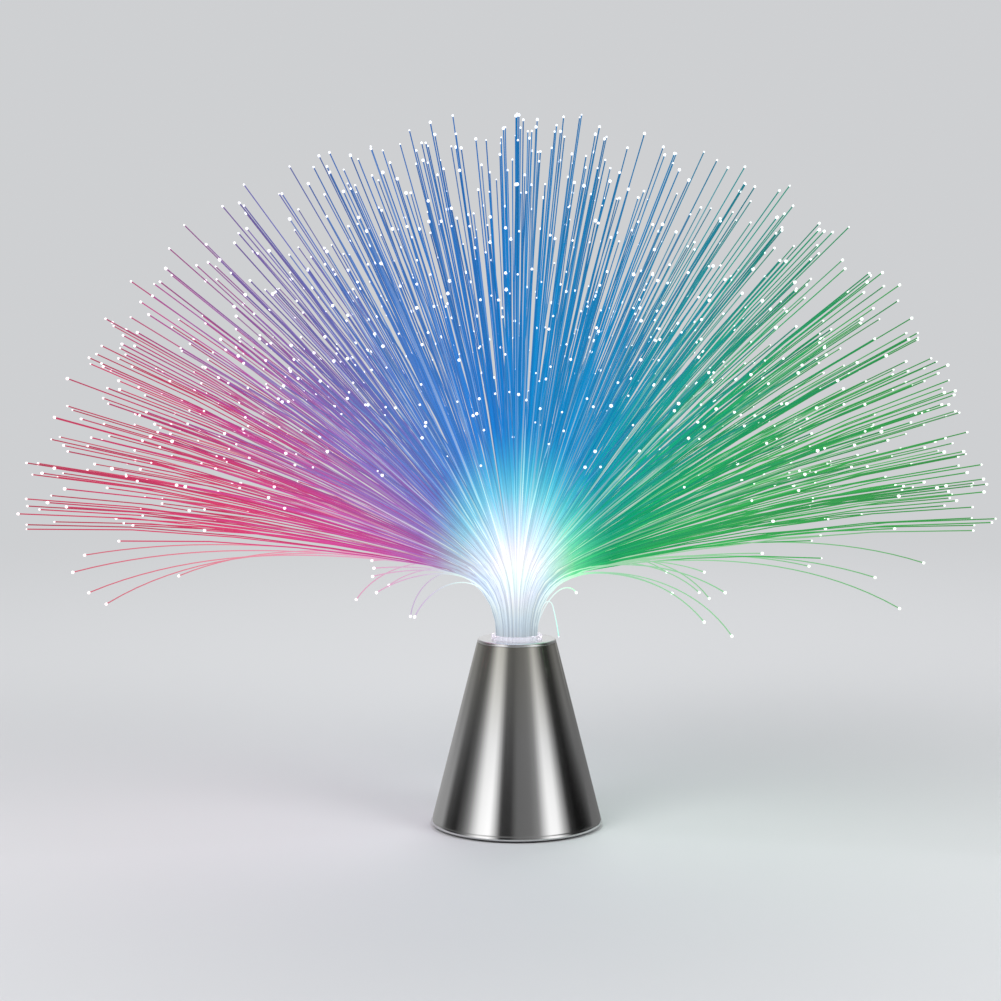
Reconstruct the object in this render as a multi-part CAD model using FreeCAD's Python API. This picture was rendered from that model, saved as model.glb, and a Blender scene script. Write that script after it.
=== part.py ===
import FreeCAD, Part

# A battery-powered fibre-optic spray lamp: a steel-clad cone that holds the light engine and three
# AAA cells, and a bundle of light-guide fibres that lifts out of the cone's socket.
# Millimetres, +Z up.  The origin is the middle of the plane that the feet stand on, -Y is the front.

import math
import os

from FreeCAD import Vector

# ---------------------------------------------------------------- the cone
BASE_RADIUS = 40.8  # outside of the sleeve at its lower edge
NECK_RADIUS = 18.85  # outside of the sleeve at its upper edge
SLEEVE_HEIGHT = 86.9
SLEEVE_WALL = 0.6
HEM_WIDTH = 2.0  # the rolled lower edge, inwards
HEM_HEIGHT = 2.0
HEM_CHAMFER = 0.8
SLEEVE_GAP = 0.15  # between the sleeve and the core inside it

DECK_THICKNESS = 1.8
FIN_THICKNESS = 2.0
FIN_FOOT = 8.5  # a fin's width at the base plate
FIN_KNEE = 8.0  # above the battery bay, where a fin starts to widen inwards
RIB_THICKNESS = 1.6

COLLAR_HEIGHT = 1.6
SPIGOT_LENGTH = 3.0
SPIGOT_GAP = 0.2

# ---------------------------------------------------------------- the fibre bundle
BUNDLE_RADIUS = 10.35  # the bonded end of the fibres
FERRULE_BOND = 0.05
FERRULE_WALL = 0.8
FERRULE_DEPTH = 32.0  # below the top of the collar
LIP_WIDTH = 0.9
LIP_HEIGHT = 2.0
BUTT_DROP = 2.4  # from the top of the lip down to where the fibres part
SOCKET_GAP = 0.25
SOCKET_WALL = 1.6
LEDGE_THICKNESS = 1.6
LEDGE_WIDTH = 1.9
LEDGE_GAP = 0.3  # the ferrule hangs by its lip, this far above the ledge

FIBRE_WIDTH = 0.66
FIBRE_RINGS = 10
FIBRES_PER_RING = 6  # ring n has n times as many
FIBRE_EDGE = 0.4  # from the outer ring of fibres to the edge of the butt
FIBRE_LENGTH = 247.0
OUTER_TRIM = 8.0  # the right side of the outer ring is this much shorter
FIBRE_GROUPS = ("fibres_long", "fibres_medium", "fibres_short")
GROUP_LENGTHS = (1.0, 0.84, 0.69)  # as shares of FIBRE_LENGTH
LENGTH_SPREAD = 0.02  # either way, as a share
OUTER_TILT = 80.0  # degrees from the vertical that the outer ring bends to
FRONT_LIFT = 0.27  # how much less the fibres bend towards the front and the back, as a share
TILT_SPREAD = 2.0  # degrees either way
TURN_SPREAD = 0.03  # either way, as a share of the step round a ring
SAG = 12.0  # degrees that a level fibre droops by its tip
FIBRE_FOOT = 3.0  # stays upright inside the ferrule
OUTER_LEAN = 14.0  # degrees that the outer ring leans just above the ferrule
LEAN_LENGTH = 6.0  # how soon it leans so
BEND_LENGTH = 30.0  # how far up the bend at the neck lies
BEND_SHARPNESS = 2.2
BEND_REACH = 42.0  # where the bend ends, above the foot
BEND_FACETS = 4
SAG_FACETS = 3
DROOP_NODE = "fibres_drooping"
DROOPING = (  # the short ones in the outer ring that hang over: turn, share of FIBRE_LENGTH, sag
    (0, 0.741, 28), (354, 0.789, 40), (6, 0.623, 24), (12, 0.887, 29), (348, 0.522, 10), (18, 0.441, 33),
    (24, 0.462, 55), (342, 0.502, 68), (336, 0.368, 41), (330, 0.466, 63), (30, 0.526, 65),
    (36, 0.433, 50), (324, 0.522, 43), (180, 0.883, 20), (186, 0.870, 33), (174, 0.879, 42),
    (192, 0.891, 25), (168, 0.745, 34), (162, 0.348, 19), (198, 0.332, 15), (204, 0.344, 25),
    (156, 0.328, 50), (210, 0.352, 43), (150, 0.445, 68), (216, 0.296, 79), (144, 0.352, 100),
)

# ---------------------------------------------------------------- the light engine
LED_RADIUS = 2.5
LED_HEIGHT = 8.6
LED_FLANGE = 0.4
LED_FLANGE_HEIGHT = 1.0
LED_PITCH = 6.3
LED_GAP = 0.5  # from the LEDs up to the ledge
LED_NAMES = ("led_red", "led_blue", "led_green")

BOARD_LENGTH = 42.0
BOARD_WIDTH = 22.0
BOARD_THICKNESS = 1.6
BOARD_SCREW_EDGE = 3.5
BOARD_BOSS_WALL = 1.8
CHIP_SIZE = (5.0, 4.0, 1.5)
CHIP_PLACE = (4.5, 5.5)
RESISTOR_SIZE = (3.2, 1.6, 0.6)
RESISTOR_PITCH = 3.0
RESISTOR_PLACE = (6.0, -3.0)

# ---------------------------------------------------------------- screws
CUT_MARGIN = 1.0  # how far outside a solid a cut into it begins
SCREW_BORE_GAP = 0.05  # a screw in its pilot hole
SCREW_PASS_GAP = 0.2  # a screw through a clearance hole
SCREW_HEAD_GAP = 0.3
PILOT_SPARE = 1.5  # a pilot hole is deeper than its screw
BOARD_SCREW = (1.0, 6.0, 1.9, 1.3)  # shank radius, length under the head, head radius, head height
BASE_SCREW = (1.4, 8.0, 2.6, 1.2)
DOOR_SCREW = (1.1, 4.4, 2.1, 0.9)

# ---------------------------------------------------------------- the base plate and its feet
FOOT_HEIGHT = 0.9
FOOT_RADIUS = 4.0
FOOT_EDGE = 1.3
FOOT_ANGLES = (42, 138, 222, 318)
PLATE_THICKNESS = 2.4
PLATE_GAP = 0.3
BASE_SCREW_EDGE = 5.3
BASE_SCREW_ANGLES = (60, 120, 240, 300)
BASE_BOSS_WALL = 1.9
BASE_BOSS_HEIGHT = 10.5
COUNTERBORE_FLOOR = 1.0

# ---------------------------------------------------------------- the battery bay
CELL_RADIUS = 5.25
CELL_LENGTH = 44.5
NUB_RADIUS = 1.9
NUB_LENGTH = 0.8
CELL_SPACING = 0.4
CELL_CLEARANCE = 0.4  # above and below the cells
CONTACT_SPACE = 3.5  # for both contacts of a cell
BAY_WALL = 2.2
BAY_ROOF = 1.6
DOOR_THICKNESS = 1.8
DOOR_GAP = 0.3
DOOR_LEDGE = 1.0
HINGE_PIN_RADIUS = 0.6
HINGE_PIN_GAP = 0.06
HINGE_PIN_GRIP = 1.0  # how far a pin reaches into the plate
HINGE_PIN_END_GAP = 0.15
TONGUE_LENGTH = 7.2
TONGUE_WIDTH = 10.0
DOOR_SCREW_SWING = 0.3  # room for the screw to swing out of its boss with the door
DOOR_BOSS_WALL = 1.8
DOOR_BOSS_HEIGHT = 5.4
GRIP_RIBS = 3
GRIP_PITCH = 2.4
GRIP_WIDTH = 0.9
GRIP_LENGTH = 15.0
GRIP_DEPTH = 0.5

CONTACT_THICKNESS = 0.4
CONTACT_WIDTH = 7.0
CONTACT_HEIGHT = 8.0
CONTACT_FREE = 0.05  # between a contact and the cell that it meets
LEAF_WIDTH = 4.0
TAB_WIDTH = 3.0
TAB_RISE = 2.5  # above the roof of the bay
TAB_GAP = 0.15
NUB_SIDE_SPACE = 1.1  # of the contact space, on the side of the cell's nub

# ---------------------------------------------------------------- the slide switch
SWITCH_TRAVEL = 4.0
SWITCH_BAY_GAP = 2.4
CARRIAGE = (5.6, 4.2, 1.6)
KNOB = (3.8, 2.6)
KNOB_PROUD = 0.4  # below the underside of the plate
CAN_WALL = 0.5
CAN_HEIGHT = 5.5
CARRIAGE_GAP = 0.2
SLOT_GAP = 0.3
WINDOW_GAP = 0.5
WAFER_THICKNESS = 1.0
PIN_SIZE = (0.8, 0.4)
PIN_RISE = 2.5
PIN_PITCH = 2.5
CLIP_GAP = 0.1
CLIP_THICKNESS = 1.2
CLIP_WIDTH = 4.0
CLIP_NOSE = 0.5
FINGER_LENGTH = 14.0  # the shallow recess round the knob
FINGER_WIDTH = 7.4
FINGER_DEPTH = 1.0

LEAD_WIDTH = 1.2
LEAD_SPANS = 8
LEAD_ARCH = 10.0
RED_PAD = (13.0, -7.0)
SWITCH_PAD = (-7.0, 8.0)

# ---------------------------------------------------------------- heights worked out from the sizes
PLATE_BOTTOM = FOOT_HEIGHT
PLATE_TOP = PLATE_BOTTOM + PLATE_THICKNESS
SLEEVE_TOP = PLATE_BOTTOM + SLEEVE_HEIGHT
COLLAR_TOP = SLEEVE_TOP + COLLAR_HEIGHT
LIP_TOP = COLLAR_TOP + LIP_HEIGHT
BUTT_TOP = LIP_TOP - BUTT_DROP
DECK_TOP = SLEEVE_TOP - SPIGOT_LENGTH
DECK_BOTTOM = DECK_TOP - DECK_THICKNESS
FERRULE_BOTTOM = COLLAR_TOP - FERRULE_DEPTH
LEDGE_TOP = FERRULE_BOTTOM - LEDGE_GAP
LEDGE_BOTTOM = LEDGE_TOP - LEDGE_THICKNESS
LED_TOP = LEDGE_BOTTOM - LED_GAP
BOARD_TOP = LED_TOP - LED_HEIGHT
BOARD_BOTTOM = BOARD_TOP - BOARD_THICKNESS

FERRULE_BORE = BUNDLE_RADIUS + FERRULE_BOND
FERRULE_RADIUS = FERRULE_BORE + FERRULE_WALL
SOCKET_RADIUS = FERRULE_RADIUS + SOCKET_GAP
SOCKET_OUTSIDE = SOCKET_RADIUS + SOCKET_WALL
RING_PITCH = (BUNDLE_RADIUS - FIBRE_EDGE - FIBRE_WIDTH / 2) / FIBRE_RINGS
BOARD_SCREW_X = BOARD_LENGTH / 2 - BOARD_SCREW_EDGE

PLATE_RADIUS = BASE_RADIUS - HEM_WIDTH - PLATE_GAP
FOOT_CIRCLE = PLATE_RADIUS - FOOT_EDGE - FOOT_RADIUS
BASE_SCREW_CIRCLE = PLATE_RADIUS - BASE_SCREW_EDGE

DOOR_TOP = PLATE_BOTTOM + DOOR_THICKNESS
CELL_CENTRE = DOOR_TOP + CELL_CLEARANCE + CELL_RADIUS
BAY_CEILING = CELL_CENTRE + CELL_RADIUS + CELL_CLEARANCE
BAY_TOP = BAY_CEILING + BAY_ROOF
CELL_PITCH = 2 * CELL_RADIUS + CELL_SPACING
CELL_PLACES = (-CELL_PITCH, 0.0, CELL_PITCH)
BAY_X = (CELL_LENGTH + CONTACT_SPACE) / 2
BAY_Y = len(CELL_PLACES) * CELL_PITCH / 2
SEAT_X = BAY_X + DOOR_LEDGE
SEAT_Y = BAY_Y + DOOR_LEDGE
HINGE_X = -SEAT_X + DOOR_GAP + DOOR_THICKNESS / 2
HINGE_Z = PLATE_BOTTOM + DOOR_THICKNESS / 2
DOOR_SCREW_X = SEAT_X - DOOR_GAP + TONGUE_LENGTH / 2

TAPER = (BASE_RADIUS - NECK_RADIUS) / SLEEVE_HEIGHT
CAN_LENGTH = CARRIAGE[0] + SWITCH_TRAVEL + 2 * (CARRIAGE_GAP + CAN_WALL)
CAN_WIDTH = CARRIAGE[1] + 2 * (CARRIAGE_GAP + CAN_WALL)
CAN_TOP = PLATE_TOP + CAN_HEIGHT
SWITCH_Y = BAY_Y + BAY_WALL + SWITCH_BAY_GAP + CAN_WIDTH / 2


def sleeve_radius(height):
    """Outside radius of the sleeve at a height above the table."""
    return BASE_RADIUS - (height - PLATE_BOTTOM) * TAPER


def core_radius(height):
    """Outside radius of the core, a little inside the sleeve."""
    return sleeve_radius(height) - SLEEVE_WALL - SLEEVE_GAP


def on_circle(radius, degrees):
    """The (x, y) place at an angle on a circle about the axis."""
    turn = math.radians(degrees)
    return radius * math.cos(turn), radius * math.sin(turn)


def box(x_range, y_range, z_range):
    """A block between three pairs of limits."""
    corner = Vector(x_range[0], y_range[0], z_range[0])
    sides = [high - low for low, high in (x_range, y_range, z_range)]
    return Part.makeBox(*sides, corner)


def centred_box(centre, length, width, z_range):
    """A block of a length along X and a width along Y, centred on an (x, y) place."""
    x, y = centre
    return box((x - length / 2, x + length / 2), (y - width / 2, y + width / 2), z_range)


def cylinder(radius, z_range, place=(0.0, 0.0)):
    """An upright cylinder."""
    return Part.makeCylinder(radius, z_range[1] - z_range[0], Vector(*place, z_range[0]))


def revolved(corners):
    """The solid that a closed outline of (radius, height) corners sweeps about the axis."""
    outline = [Vector(radius, 0, height) for radius, height in corners]
    face = Part.Face(Part.makePolygon(outline + outline[:1]))
    return face.revolve(Vector(0, 0, 0), Vector(0, 0, 1), 360)


def bent_bar(stations, width):
    """A square bar along a bent line in the XZ plane.

    A station is (x, z, tilt), with the tilt of the line from the vertical in radians.
    """
    half = width / 2
    left = [Vector(x - half * math.cos(tilt), -half, z + half * math.sin(tilt)) for x, z, tilt in stations]
    right = [Vector(x + half * math.cos(tilt), -half, z - half * math.sin(tilt)) for x, z, tilt in stations]
    outline = left + right[::-1]
    return Part.Face(Part.makePolygon(outline + outline[:1])).extrude(Vector(0, width, 0))


def turned(shape, degrees, place=(0.0, 0.0)):
    """A copy turned about the vertical axis and then moved to an (x, y) place."""
    copy = shape.copy()
    copy.rotate(Vector(0, 0, 0), Vector(0, 0, 1), degrees)
    copy.translate(Vector(*place, 0))
    return copy


def screw(size, under_head, place):
    """A screw that points up, with its head below the given height."""
    shank_radius, length, head_radius, head_height = size
    shank = cylinder(shank_radius, (under_head, under_head + length), place)
    head = cylinder(head_radius, (under_head - head_height, under_head), place)
    return head.fuse(shank).removeSplitter()


def pilot_hole(size, mouth, under_head, place, gap=SCREW_BORE_GAP):
    """The hole that takes a screw's end, from its mouth to a little past the screw."""
    shank_radius, length, _, _ = size
    return cylinder(shank_radius + gap, (mouth, under_head + length + PILOT_SPARE), place)


# ---------------------------------------------------------------- sleeve, core and collar
def make_outer_sleeve():
    """The steel cone, with its lower edge rolled in round the base plate."""
    hem_inside = BASE_RADIUS - HEM_WIDTH
    hem_top = PLATE_BOTTOM + HEM_HEIGHT
    return revolved([
        (BASE_RADIUS - HEM_CHAMFER, PLATE_BOTTOM),
        (sleeve_radius(PLATE_BOTTOM + HEM_CHAMFER), PLATE_BOTTOM + HEM_CHAMFER),
        (sleeve_radius(SLEEVE_TOP), SLEEVE_TOP),
        (sleeve_radius(SLEEVE_TOP) - SLEEVE_WALL, SLEEVE_TOP),
        (sleeve_radius(hem_top) - SLEEVE_WALL, hem_top),
        (hem_inside, hem_top),
        (hem_inside, PLATE_BOTTOM),
    ])


def make_fin(angle):
    """A flat radial fin that stands on the base plate and backs the sleeve up to the deck."""
    foot_outside = core_radius(PLATE_TOP)
    foot_inside = foot_outside - FIN_FOOT
    root = (SOCKET_RADIUS + SOCKET_OUTSIDE) / 2
    outline = [
        (foot_outside, PLATE_TOP),
        (core_radius(DECK_BOTTOM), DECK_BOTTOM),
        (root, DECK_BOTTOM),
        (root, LEDGE_BOTTOM),
        (foot_inside, BAY_TOP + FIN_KNEE),
        (foot_inside, PLATE_TOP),
    ]
    corners = [Vector(radius, -FIN_THICKNESS / 2, height) for radius, height in outline]
    face = Part.Face(Part.makePolygon(corners + corners[:1]))
    return turned(face.extrude(Vector(0, FIN_THICKNESS, 0)), angle)


def make_board_post(side):
    """A post for a board screw, hung from the deck and tied to the socket by a rib."""
    x = side * BOARD_SCREW_X
    post = cylinder(BOARD_SCREW[0] + BOARD_BOSS_WALL, (BOARD_TOP, DECK_BOTTOM), (x, 0))
    rib_x = sorted((side * (SOCKET_RADIUS + SOCKET_OUTSIDE) / 2, x))
    rib = box(rib_x, (-RIB_THICKNESS / 2, RIB_THICKNESS / 2), (LEDGE_BOTTOM, DECK_BOTTOM))
    return post.fuse(rib)


def make_chassis_core():
    """The moulded core: deck, socket for the bundle, four fins, and posts for the screws."""
    ledge_hole = SOCKET_RADIUS - LEDGE_WIDTH
    socket = revolved([
        (SOCKET_RADIUS, DECK_TOP),
        (core_radius(DECK_TOP), DECK_TOP),
        (core_radius(DECK_BOTTOM), DECK_BOTTOM),
        (SOCKET_OUTSIDE, DECK_BOTTOM),
        (SOCKET_OUTSIDE, LEDGE_BOTTOM),
        (ledge_hole, LEDGE_BOTTOM),
        (ledge_hole, LEDGE_TOP),
        (SOCKET_RADIUS, LEDGE_TOP),
    ])
    inside_sleeve = revolved([
        (0, PLATE_TOP),
        (core_radius(PLATE_TOP), PLATE_TOP),
        (core_radius(DECK_BOTTOM), DECK_BOTTOM),
        (0, DECK_BOTTOM),
    ])
    pieces = [make_board_post(side).common(inside_sleeve) for side in (-1, 1)]
    holes = [pilot_hole(BOARD_SCREW, BOARD_TOP, BOARD_BOTTOM, (side * BOARD_SCREW_X, 0)) for side in (-1, 1)]
    for angle in BASE_SCREW_ANGLES:
        place = on_circle(BASE_SCREW_CIRCLE, angle)
        boss_z = (PLATE_TOP, PLATE_TOP + BASE_BOSS_HEIGHT)
        boss = cylinder(BASE_SCREW[0] + BASE_BOSS_WALL, boss_z, place)
        pieces += [make_fin(angle), boss.common(inside_sleeve)]
        holes.append(pilot_hole(BASE_SCREW, PLATE_TOP, PLATE_TOP - COUNTERBORE_FLOOR, place))
    return socket.fuse(pieces).cut(holes).removeSplitter()


def make_top_collar():
    """The turned ring that trims the sleeve's upper edge and plugs into it."""
    spigot_radius = sleeve_radius(SLEEVE_TOP) - SLEEVE_WALL - SPIGOT_GAP
    return revolved([
        (SOCKET_RADIUS, DECK_TOP),
        (spigot_radius, DECK_TOP),
        (spigot_radius, SLEEVE_TOP),
        (sleeve_radius(SLEEVE_TOP), SLEEVE_TOP),
        (sleeve_radius(COLLAR_TOP), COLLAR_TOP),
        (SOCKET_RADIUS, COLLAR_TOP),
    ])


# ---------------------------------------------------------------- the bundle
def make_ferrule():
    """The clear sleeve round the fibres, hanging in the socket by its lip."""
    return revolved([
        (FERRULE_BORE, FERRULE_BOTTOM),
        (FERRULE_RADIUS, FERRULE_BOTTOM),
        (FERRULE_RADIUS, COLLAR_TOP),
        (FERRULE_RADIUS + LIP_WIDTH, COLLAR_TOP),
        (FERRULE_RADIUS + LIP_WIDTH, LIP_TOP),
        (FERRULE_BORE, LIP_TOP),
    ])


def fibre_tilt(distance, length, outer_tilt, lean, sag):
    """Tilt from the vertical at a distance along a fibre: the lean, the bend, then the droop."""
    rise = max(distance - FIBRE_FOOT, 0.0)
    leaning = lean * (1 - math.exp(-rise / LEAN_LENGTH))
    bent = 1 - math.exp(-((rise / BEND_LENGTH) ** BEND_SHARPNESS))
    return leaning + (outer_tilt - lean) * bent + sag * (distance / length) ** 2


def facet_ends(start, end, count):
    """Where each of a number of equal facets ends."""
    return [start + (end - start) * number / count for number in range(1, count + 1)]


def make_fibre(start_radius, turn, length, outer_tilt, lean, sag):
    """One fibre, which bends outwards in its own upright plane.  All angles are in degrees."""
    bend_end = FIBRE_FOOT + BEND_REACH
    distances = [0.0, FIBRE_FOOT] + facet_ends(FIBRE_FOOT, bend_end, BEND_FACETS)
    distances += facet_ends(bend_end, length, SAG_FACETS)
    x, z = start_radius, BUTT_TOP
    stations = [(x, z, 0.0)]
    for here, after in zip(distances, distances[1:]):
        middle = math.radians(fibre_tilt((here + after) / 2, length, outer_tilt, lean, sag))
        x += (after - here) * math.sin(middle)
        z += (after - here) * math.cos(middle)
        tilt = fibre_tilt(after, length, outer_tilt, lean, sag)
        stations.append((x, z, math.radians(tilt)))
    return turned(bent_bar(stations, FIBRE_WIDTH), turn)


def wobble(seed):
    """An uneven but fixed value from -1 to 1."""
    return math.sin(seed * seed + seed)


def side_bend(turn):
    """How far the fibres bend on this side of the spray, as a share of OUTER_TILT."""
    return 1 - FRONT_LIFT * math.sin(math.radians(turn)) ** 2


def make_drooping_fibres():
    """The short fibres of the outer ring that hang over at both sides."""
    fibres = []
    for turn, length_share, sag in DROOPING:
        bend = side_bend(turn)
        start, length = FIBRE_RINGS * RING_PITCH, length_share * FIBRE_LENGTH
        fibres.append(make_fibre(start, turn, length, OUTER_TILT * bend, OUTER_LEAN * bend, sag))
    return fibres


def make_fibres():
    """Every fibre by group.  Opposite fibres bend alike; the outer ring leaves room for those that droop."""
    groups = {name: [] for name in FIBRE_GROUPS}
    groups[FIBRE_GROUPS[0]].append(make_fibre(0.0, 0.0, FIBRE_LENGTH, 0.0, 0.0, 0.0))
    drooping_turns = {row[0] for row in DROOPING}
    for ring in range(1, FIBRE_RINGS + 1):
        count = ring * FIBRES_PER_RING
        share = ring / FIBRE_RINGS
        for number in range(count):
            place = number * 360 / count
            if ring == FIBRE_RINGS and round(place) in drooping_turns:
                continue
            seed = ring * count + number % (count // 2)
            group = number % (count // 2) % len(FIBRE_GROUPS)
            turn = place + TURN_SPREAD * wobble(seed) * 360 / count
            bend = side_bend(turn)
            tilt = (OUTER_TILT * share + TILT_SPREAD * wobble(seed + 1)) * bend
            trim = OUTER_TRIM * share ** 3 * (1 + math.cos(math.radians(turn))) / 2
            length = (FIBRE_LENGTH - trim) * GROUP_LENGTHS[group] * (1 + LENGTH_SPREAD * wobble(seed + 2))
            sag = SAG * math.sin(math.radians(tilt))
            fibre = make_fibre(ring * RING_PITCH, turn, length, tilt, OUTER_LEAN * share * bend, sag)
            groups[FIBRE_GROUPS[group]].append(fibre)
    groups[DROOP_NODE] = make_drooping_fibres()
    return groups


# ---------------------------------------------------------------- the light engine
def make_led(x):
    """A flat-topped LED with its flange, standing on the board."""
    body = cylinder(LED_RADIUS, (BOARD_TOP, LED_TOP), (x, 0))
    flange = cylinder(LED_RADIUS + LED_FLANGE, (BOARD_TOP, BOARD_TOP + LED_FLANGE_HEIGHT), (x, 0))
    return body.fuse(flange).removeSplitter()


def make_board():
    """The circuit board that carries the LEDs."""
    board = centred_box((0, 0), BOARD_LENGTH, BOARD_WIDTH, (BOARD_BOTTOM, BOARD_TOP))
    hole = BOARD_SCREW[0] + SCREW_PASS_GAP
    z_range = (BOARD_BOTTOM, BOARD_TOP)
    return board.cut([cylinder(hole, z_range, (side * BOARD_SCREW_X, 0)) for side in (-1, 1)])


def make_under_board(size, place):
    """A component soldered flat to the underside of the board."""
    length, width, height = size
    return centred_box(place, length, width, (BOARD_BOTTOM - height, BOARD_BOTTOM))


# ---------------------------------------------------------------- the base plate and the door
def make_base_plate():
    """The disc that closes the cone, with the battery bay moulded on it."""
    below = PLATE_BOTTOM - CUT_MARGIN
    disc = cylinder(PLATE_RADIUS, (PLATE_BOTTOM, PLATE_TOP))
    bay = centred_box((0, 0), 2 * (BAY_X + BAY_WALL), 2 * (BAY_Y + BAY_WALL), (PLATE_BOTTOM, BAY_TOP))
    boss_radius = DOOR_SCREW[0] + DOOR_SCREW_SWING + DOOR_BOSS_WALL
    boss = cylinder(boss_radius, (PLATE_BOTTOM, DOOR_TOP + DOOR_BOSS_HEIGHT), (DOOR_SCREW_X, 0))
    plate = disc.fuse([bay, boss] + make_switch_clips())

    tongue_end = SEAT_X + TONGUE_LENGTH
    tongue_half = TONGUE_WIDTH / 2 + DOOR_GAP
    cuts = [
        centred_box((0, 0), 2 * BAY_X, 2 * BAY_Y, (below, BAY_CEILING)),
        centred_box((0, 0), 2 * SEAT_X, 2 * SEAT_Y, (below, DOOR_TOP)),
        box((0, tongue_end), (-tongue_half, tongue_half), (below, DOOR_TOP)),
        pilot_hole(DOOR_SCREW, PLATE_BOTTOM, door_screw_seat(), (DOOR_SCREW_X, 0), DOOR_SCREW_SWING),
        hinge_pin(HINGE_PIN_RADIUS + HINGE_PIN_GAP, SEAT_Y + HINGE_PIN_GRIP + HINGE_PIN_END_GAP),
        centred_box(
            (0, SWITCH_Y),
            KNOB[0] + SWITCH_TRAVEL + 2 * WINDOW_GAP,
            KNOB[1] + 2 * WINDOW_GAP,
            (below, PLATE_TOP),
        ),
        centred_box((0, SWITCH_Y), FINGER_LENGTH, FINGER_WIDTH, (below, PLATE_BOTTOM + FINGER_DEPTH)),
    ]
    shank_radius, _, head_radius, _ = BASE_SCREW
    for angle in BASE_SCREW_ANGLES:
        place = on_circle(BASE_SCREW_CIRCLE, angle)
        cuts.append(cylinder(shank_radius + SCREW_PASS_GAP, (below, PLATE_TOP), place))
        floor = PLATE_TOP - COUNTERBORE_FLOOR
        cuts.append(cylinder(head_radius + SCREW_HEAD_GAP, (below, floor), place))
    for side, y in ((1, CELL_PLACES[0]), (-1, CELL_PLACES[-1])):
        x_range = sorted((side * BAY_X, side * (BAY_X - CONTACT_THICKNESS - TAB_GAP)))
        half = TAB_WIDTH / 2 + TAB_GAP
        cuts.append(box(x_range, (y - half, y + half), (BAY_CEILING, BAY_TOP)))
    return plate.cut(cuts).removeSplitter()


def hinge_pin(radius, reach):
    """A round bar on the door's hinge line, that reaches this far to either side."""
    return Part.makeCylinder(radius, 2 * reach, Vector(HINGE_X, -reach, HINGE_Z), Vector(0, 1, 0))


def door_screw_seat():
    """Height of the face in the door's tongue that the screw's head bears on."""
    return PLATE_BOTTOM + DOOR_SCREW[3]


def make_battery_door():
    """The flush door: round hinge edge with end pins, screw tongue and finger grooves."""
    half_width = SEAT_Y - DOOR_GAP
    z_range = (PLATE_BOTTOM, DOOR_TOP)
    slab = box((HINGE_X, SEAT_X - DOOR_GAP), (-half_width, half_width), z_range)
    tongue_end = SEAT_X + TONGUE_LENGTH - DOOR_GAP
    tongue = box((0, tongue_end), (-TONGUE_WIDTH / 2, TONGUE_WIDTH / 2), z_range)
    knuckle = hinge_pin(DOOR_THICKNESS / 2, half_width)
    pins = hinge_pin(HINGE_PIN_RADIUS, SEAT_Y + HINGE_PIN_GRIP)
    door = slab.fuse([tongue, knuckle, pins])
    shank_radius, _, head_radius, _ = DOOR_SCREW
    place = (DOOR_SCREW_X, 0)
    cuts = [
        cylinder(shank_radius + SCREW_PASS_GAP, z_range, place),
        cylinder(head_radius + SCREW_HEAD_GAP, (PLATE_BOTTOM, door_screw_seat()), place),
    ]
    for number in range(GRIP_RIBS):
        x = BAY_X - (number + 1) * GRIP_PITCH
        groove = (PLATE_BOTTOM, PLATE_BOTTOM + GRIP_DEPTH)
        cuts.append(centred_box((x, 0), GRIP_WIDTH, GRIP_LENGTH, groove))
    return door.cut(cuts).removeSplitter()


def make_foot(angle):
    """A stick-on rubber foot."""
    return cylinder(FOOT_RADIUS, (0, FOOT_HEIGHT), on_circle(FOOT_CIRCLE, angle))


# ---------------------------------------------------------------- cells and contacts
def cell_side(number):
    """Which end of the bay a cell's nub points to: neighbours point opposite ways."""
    return 1 if number % 2 == 0 else -1


def nub_end(number):
    """Where the tip of a cell's nub lies along X."""
    return cell_side(number) * (BAY_X - NUB_SIDE_SPACE)


def make_cell(number):
    """An AAA cell lying along X."""
    side, y = cell_side(number), CELL_PLACES[number]
    away = Vector(-side, 0, 0)
    tip = Vector(nub_end(number), y, CELL_CENTRE)
    nub = Part.makeCylinder(NUB_RADIUS, NUB_LENGTH, tip, away)
    can = Part.makeCylinder(CELL_RADIUS, CELL_LENGTH - NUB_LENGTH, tip + away * NUB_LENGTH, away)
    return nub.fuse(can)


def contact_plate(side, y_range):
    """A sheet-metal plate flat against an end wall of the bay."""
    x_range = sorted((side * BAY_X, side * (BAY_X - CONTACT_THICKNESS)))
    z_range = (CELL_CENTRE - CONTACT_HEIGHT / 2, CELL_CENTRE + CONTACT_HEIGHT / 2)
    return box(x_range, y_range, z_range)


def contact_dimple(side, y):
    """The raised round that meets a cell's nub."""
    height = NUB_SIDE_SPACE - CONTACT_THICKNESS - CONTACT_FREE
    return Part.makeCylinder(
        NUB_RADIUS, height, Vector(side * (BAY_X - CONTACT_THICKNESS), y, CELL_CENTRE), Vector(-side, 0, 0)
    )


def contact_leaf(side, y):
    """The sprung leaf that meets a cell's flat end: a bent strip that stands off its plate."""
    reach = CONTACT_SPACE - NUB_SIDE_SPACE - CONTACT_FREE
    foot, crest, edge = CONTACT_HEIGHT / 2, CONTACT_THICKNESS / 2, CONTACT_THICKNESS
    wall = BAY_X - CONTACT_THICKNESS
    outline = [
        (wall, foot),
        (BAY_X - reach, crest),
        (BAY_X - reach, -crest),
        (wall - 2 * edge, -foot),
        (wall - edge, -foot),
        (BAY_X - reach + edge, -crest),
        (BAY_X - reach + edge, crest),
        (wall, foot - edge),
    ]
    corners = [Vector(side * x, y - LEAF_WIDTH / 2, CELL_CENTRE + z) for x, z in outline]
    return Part.Face(Part.makePolygon(corners + corners[:1])).extrude(Vector(0, LEAF_WIDTH, 0))


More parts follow.
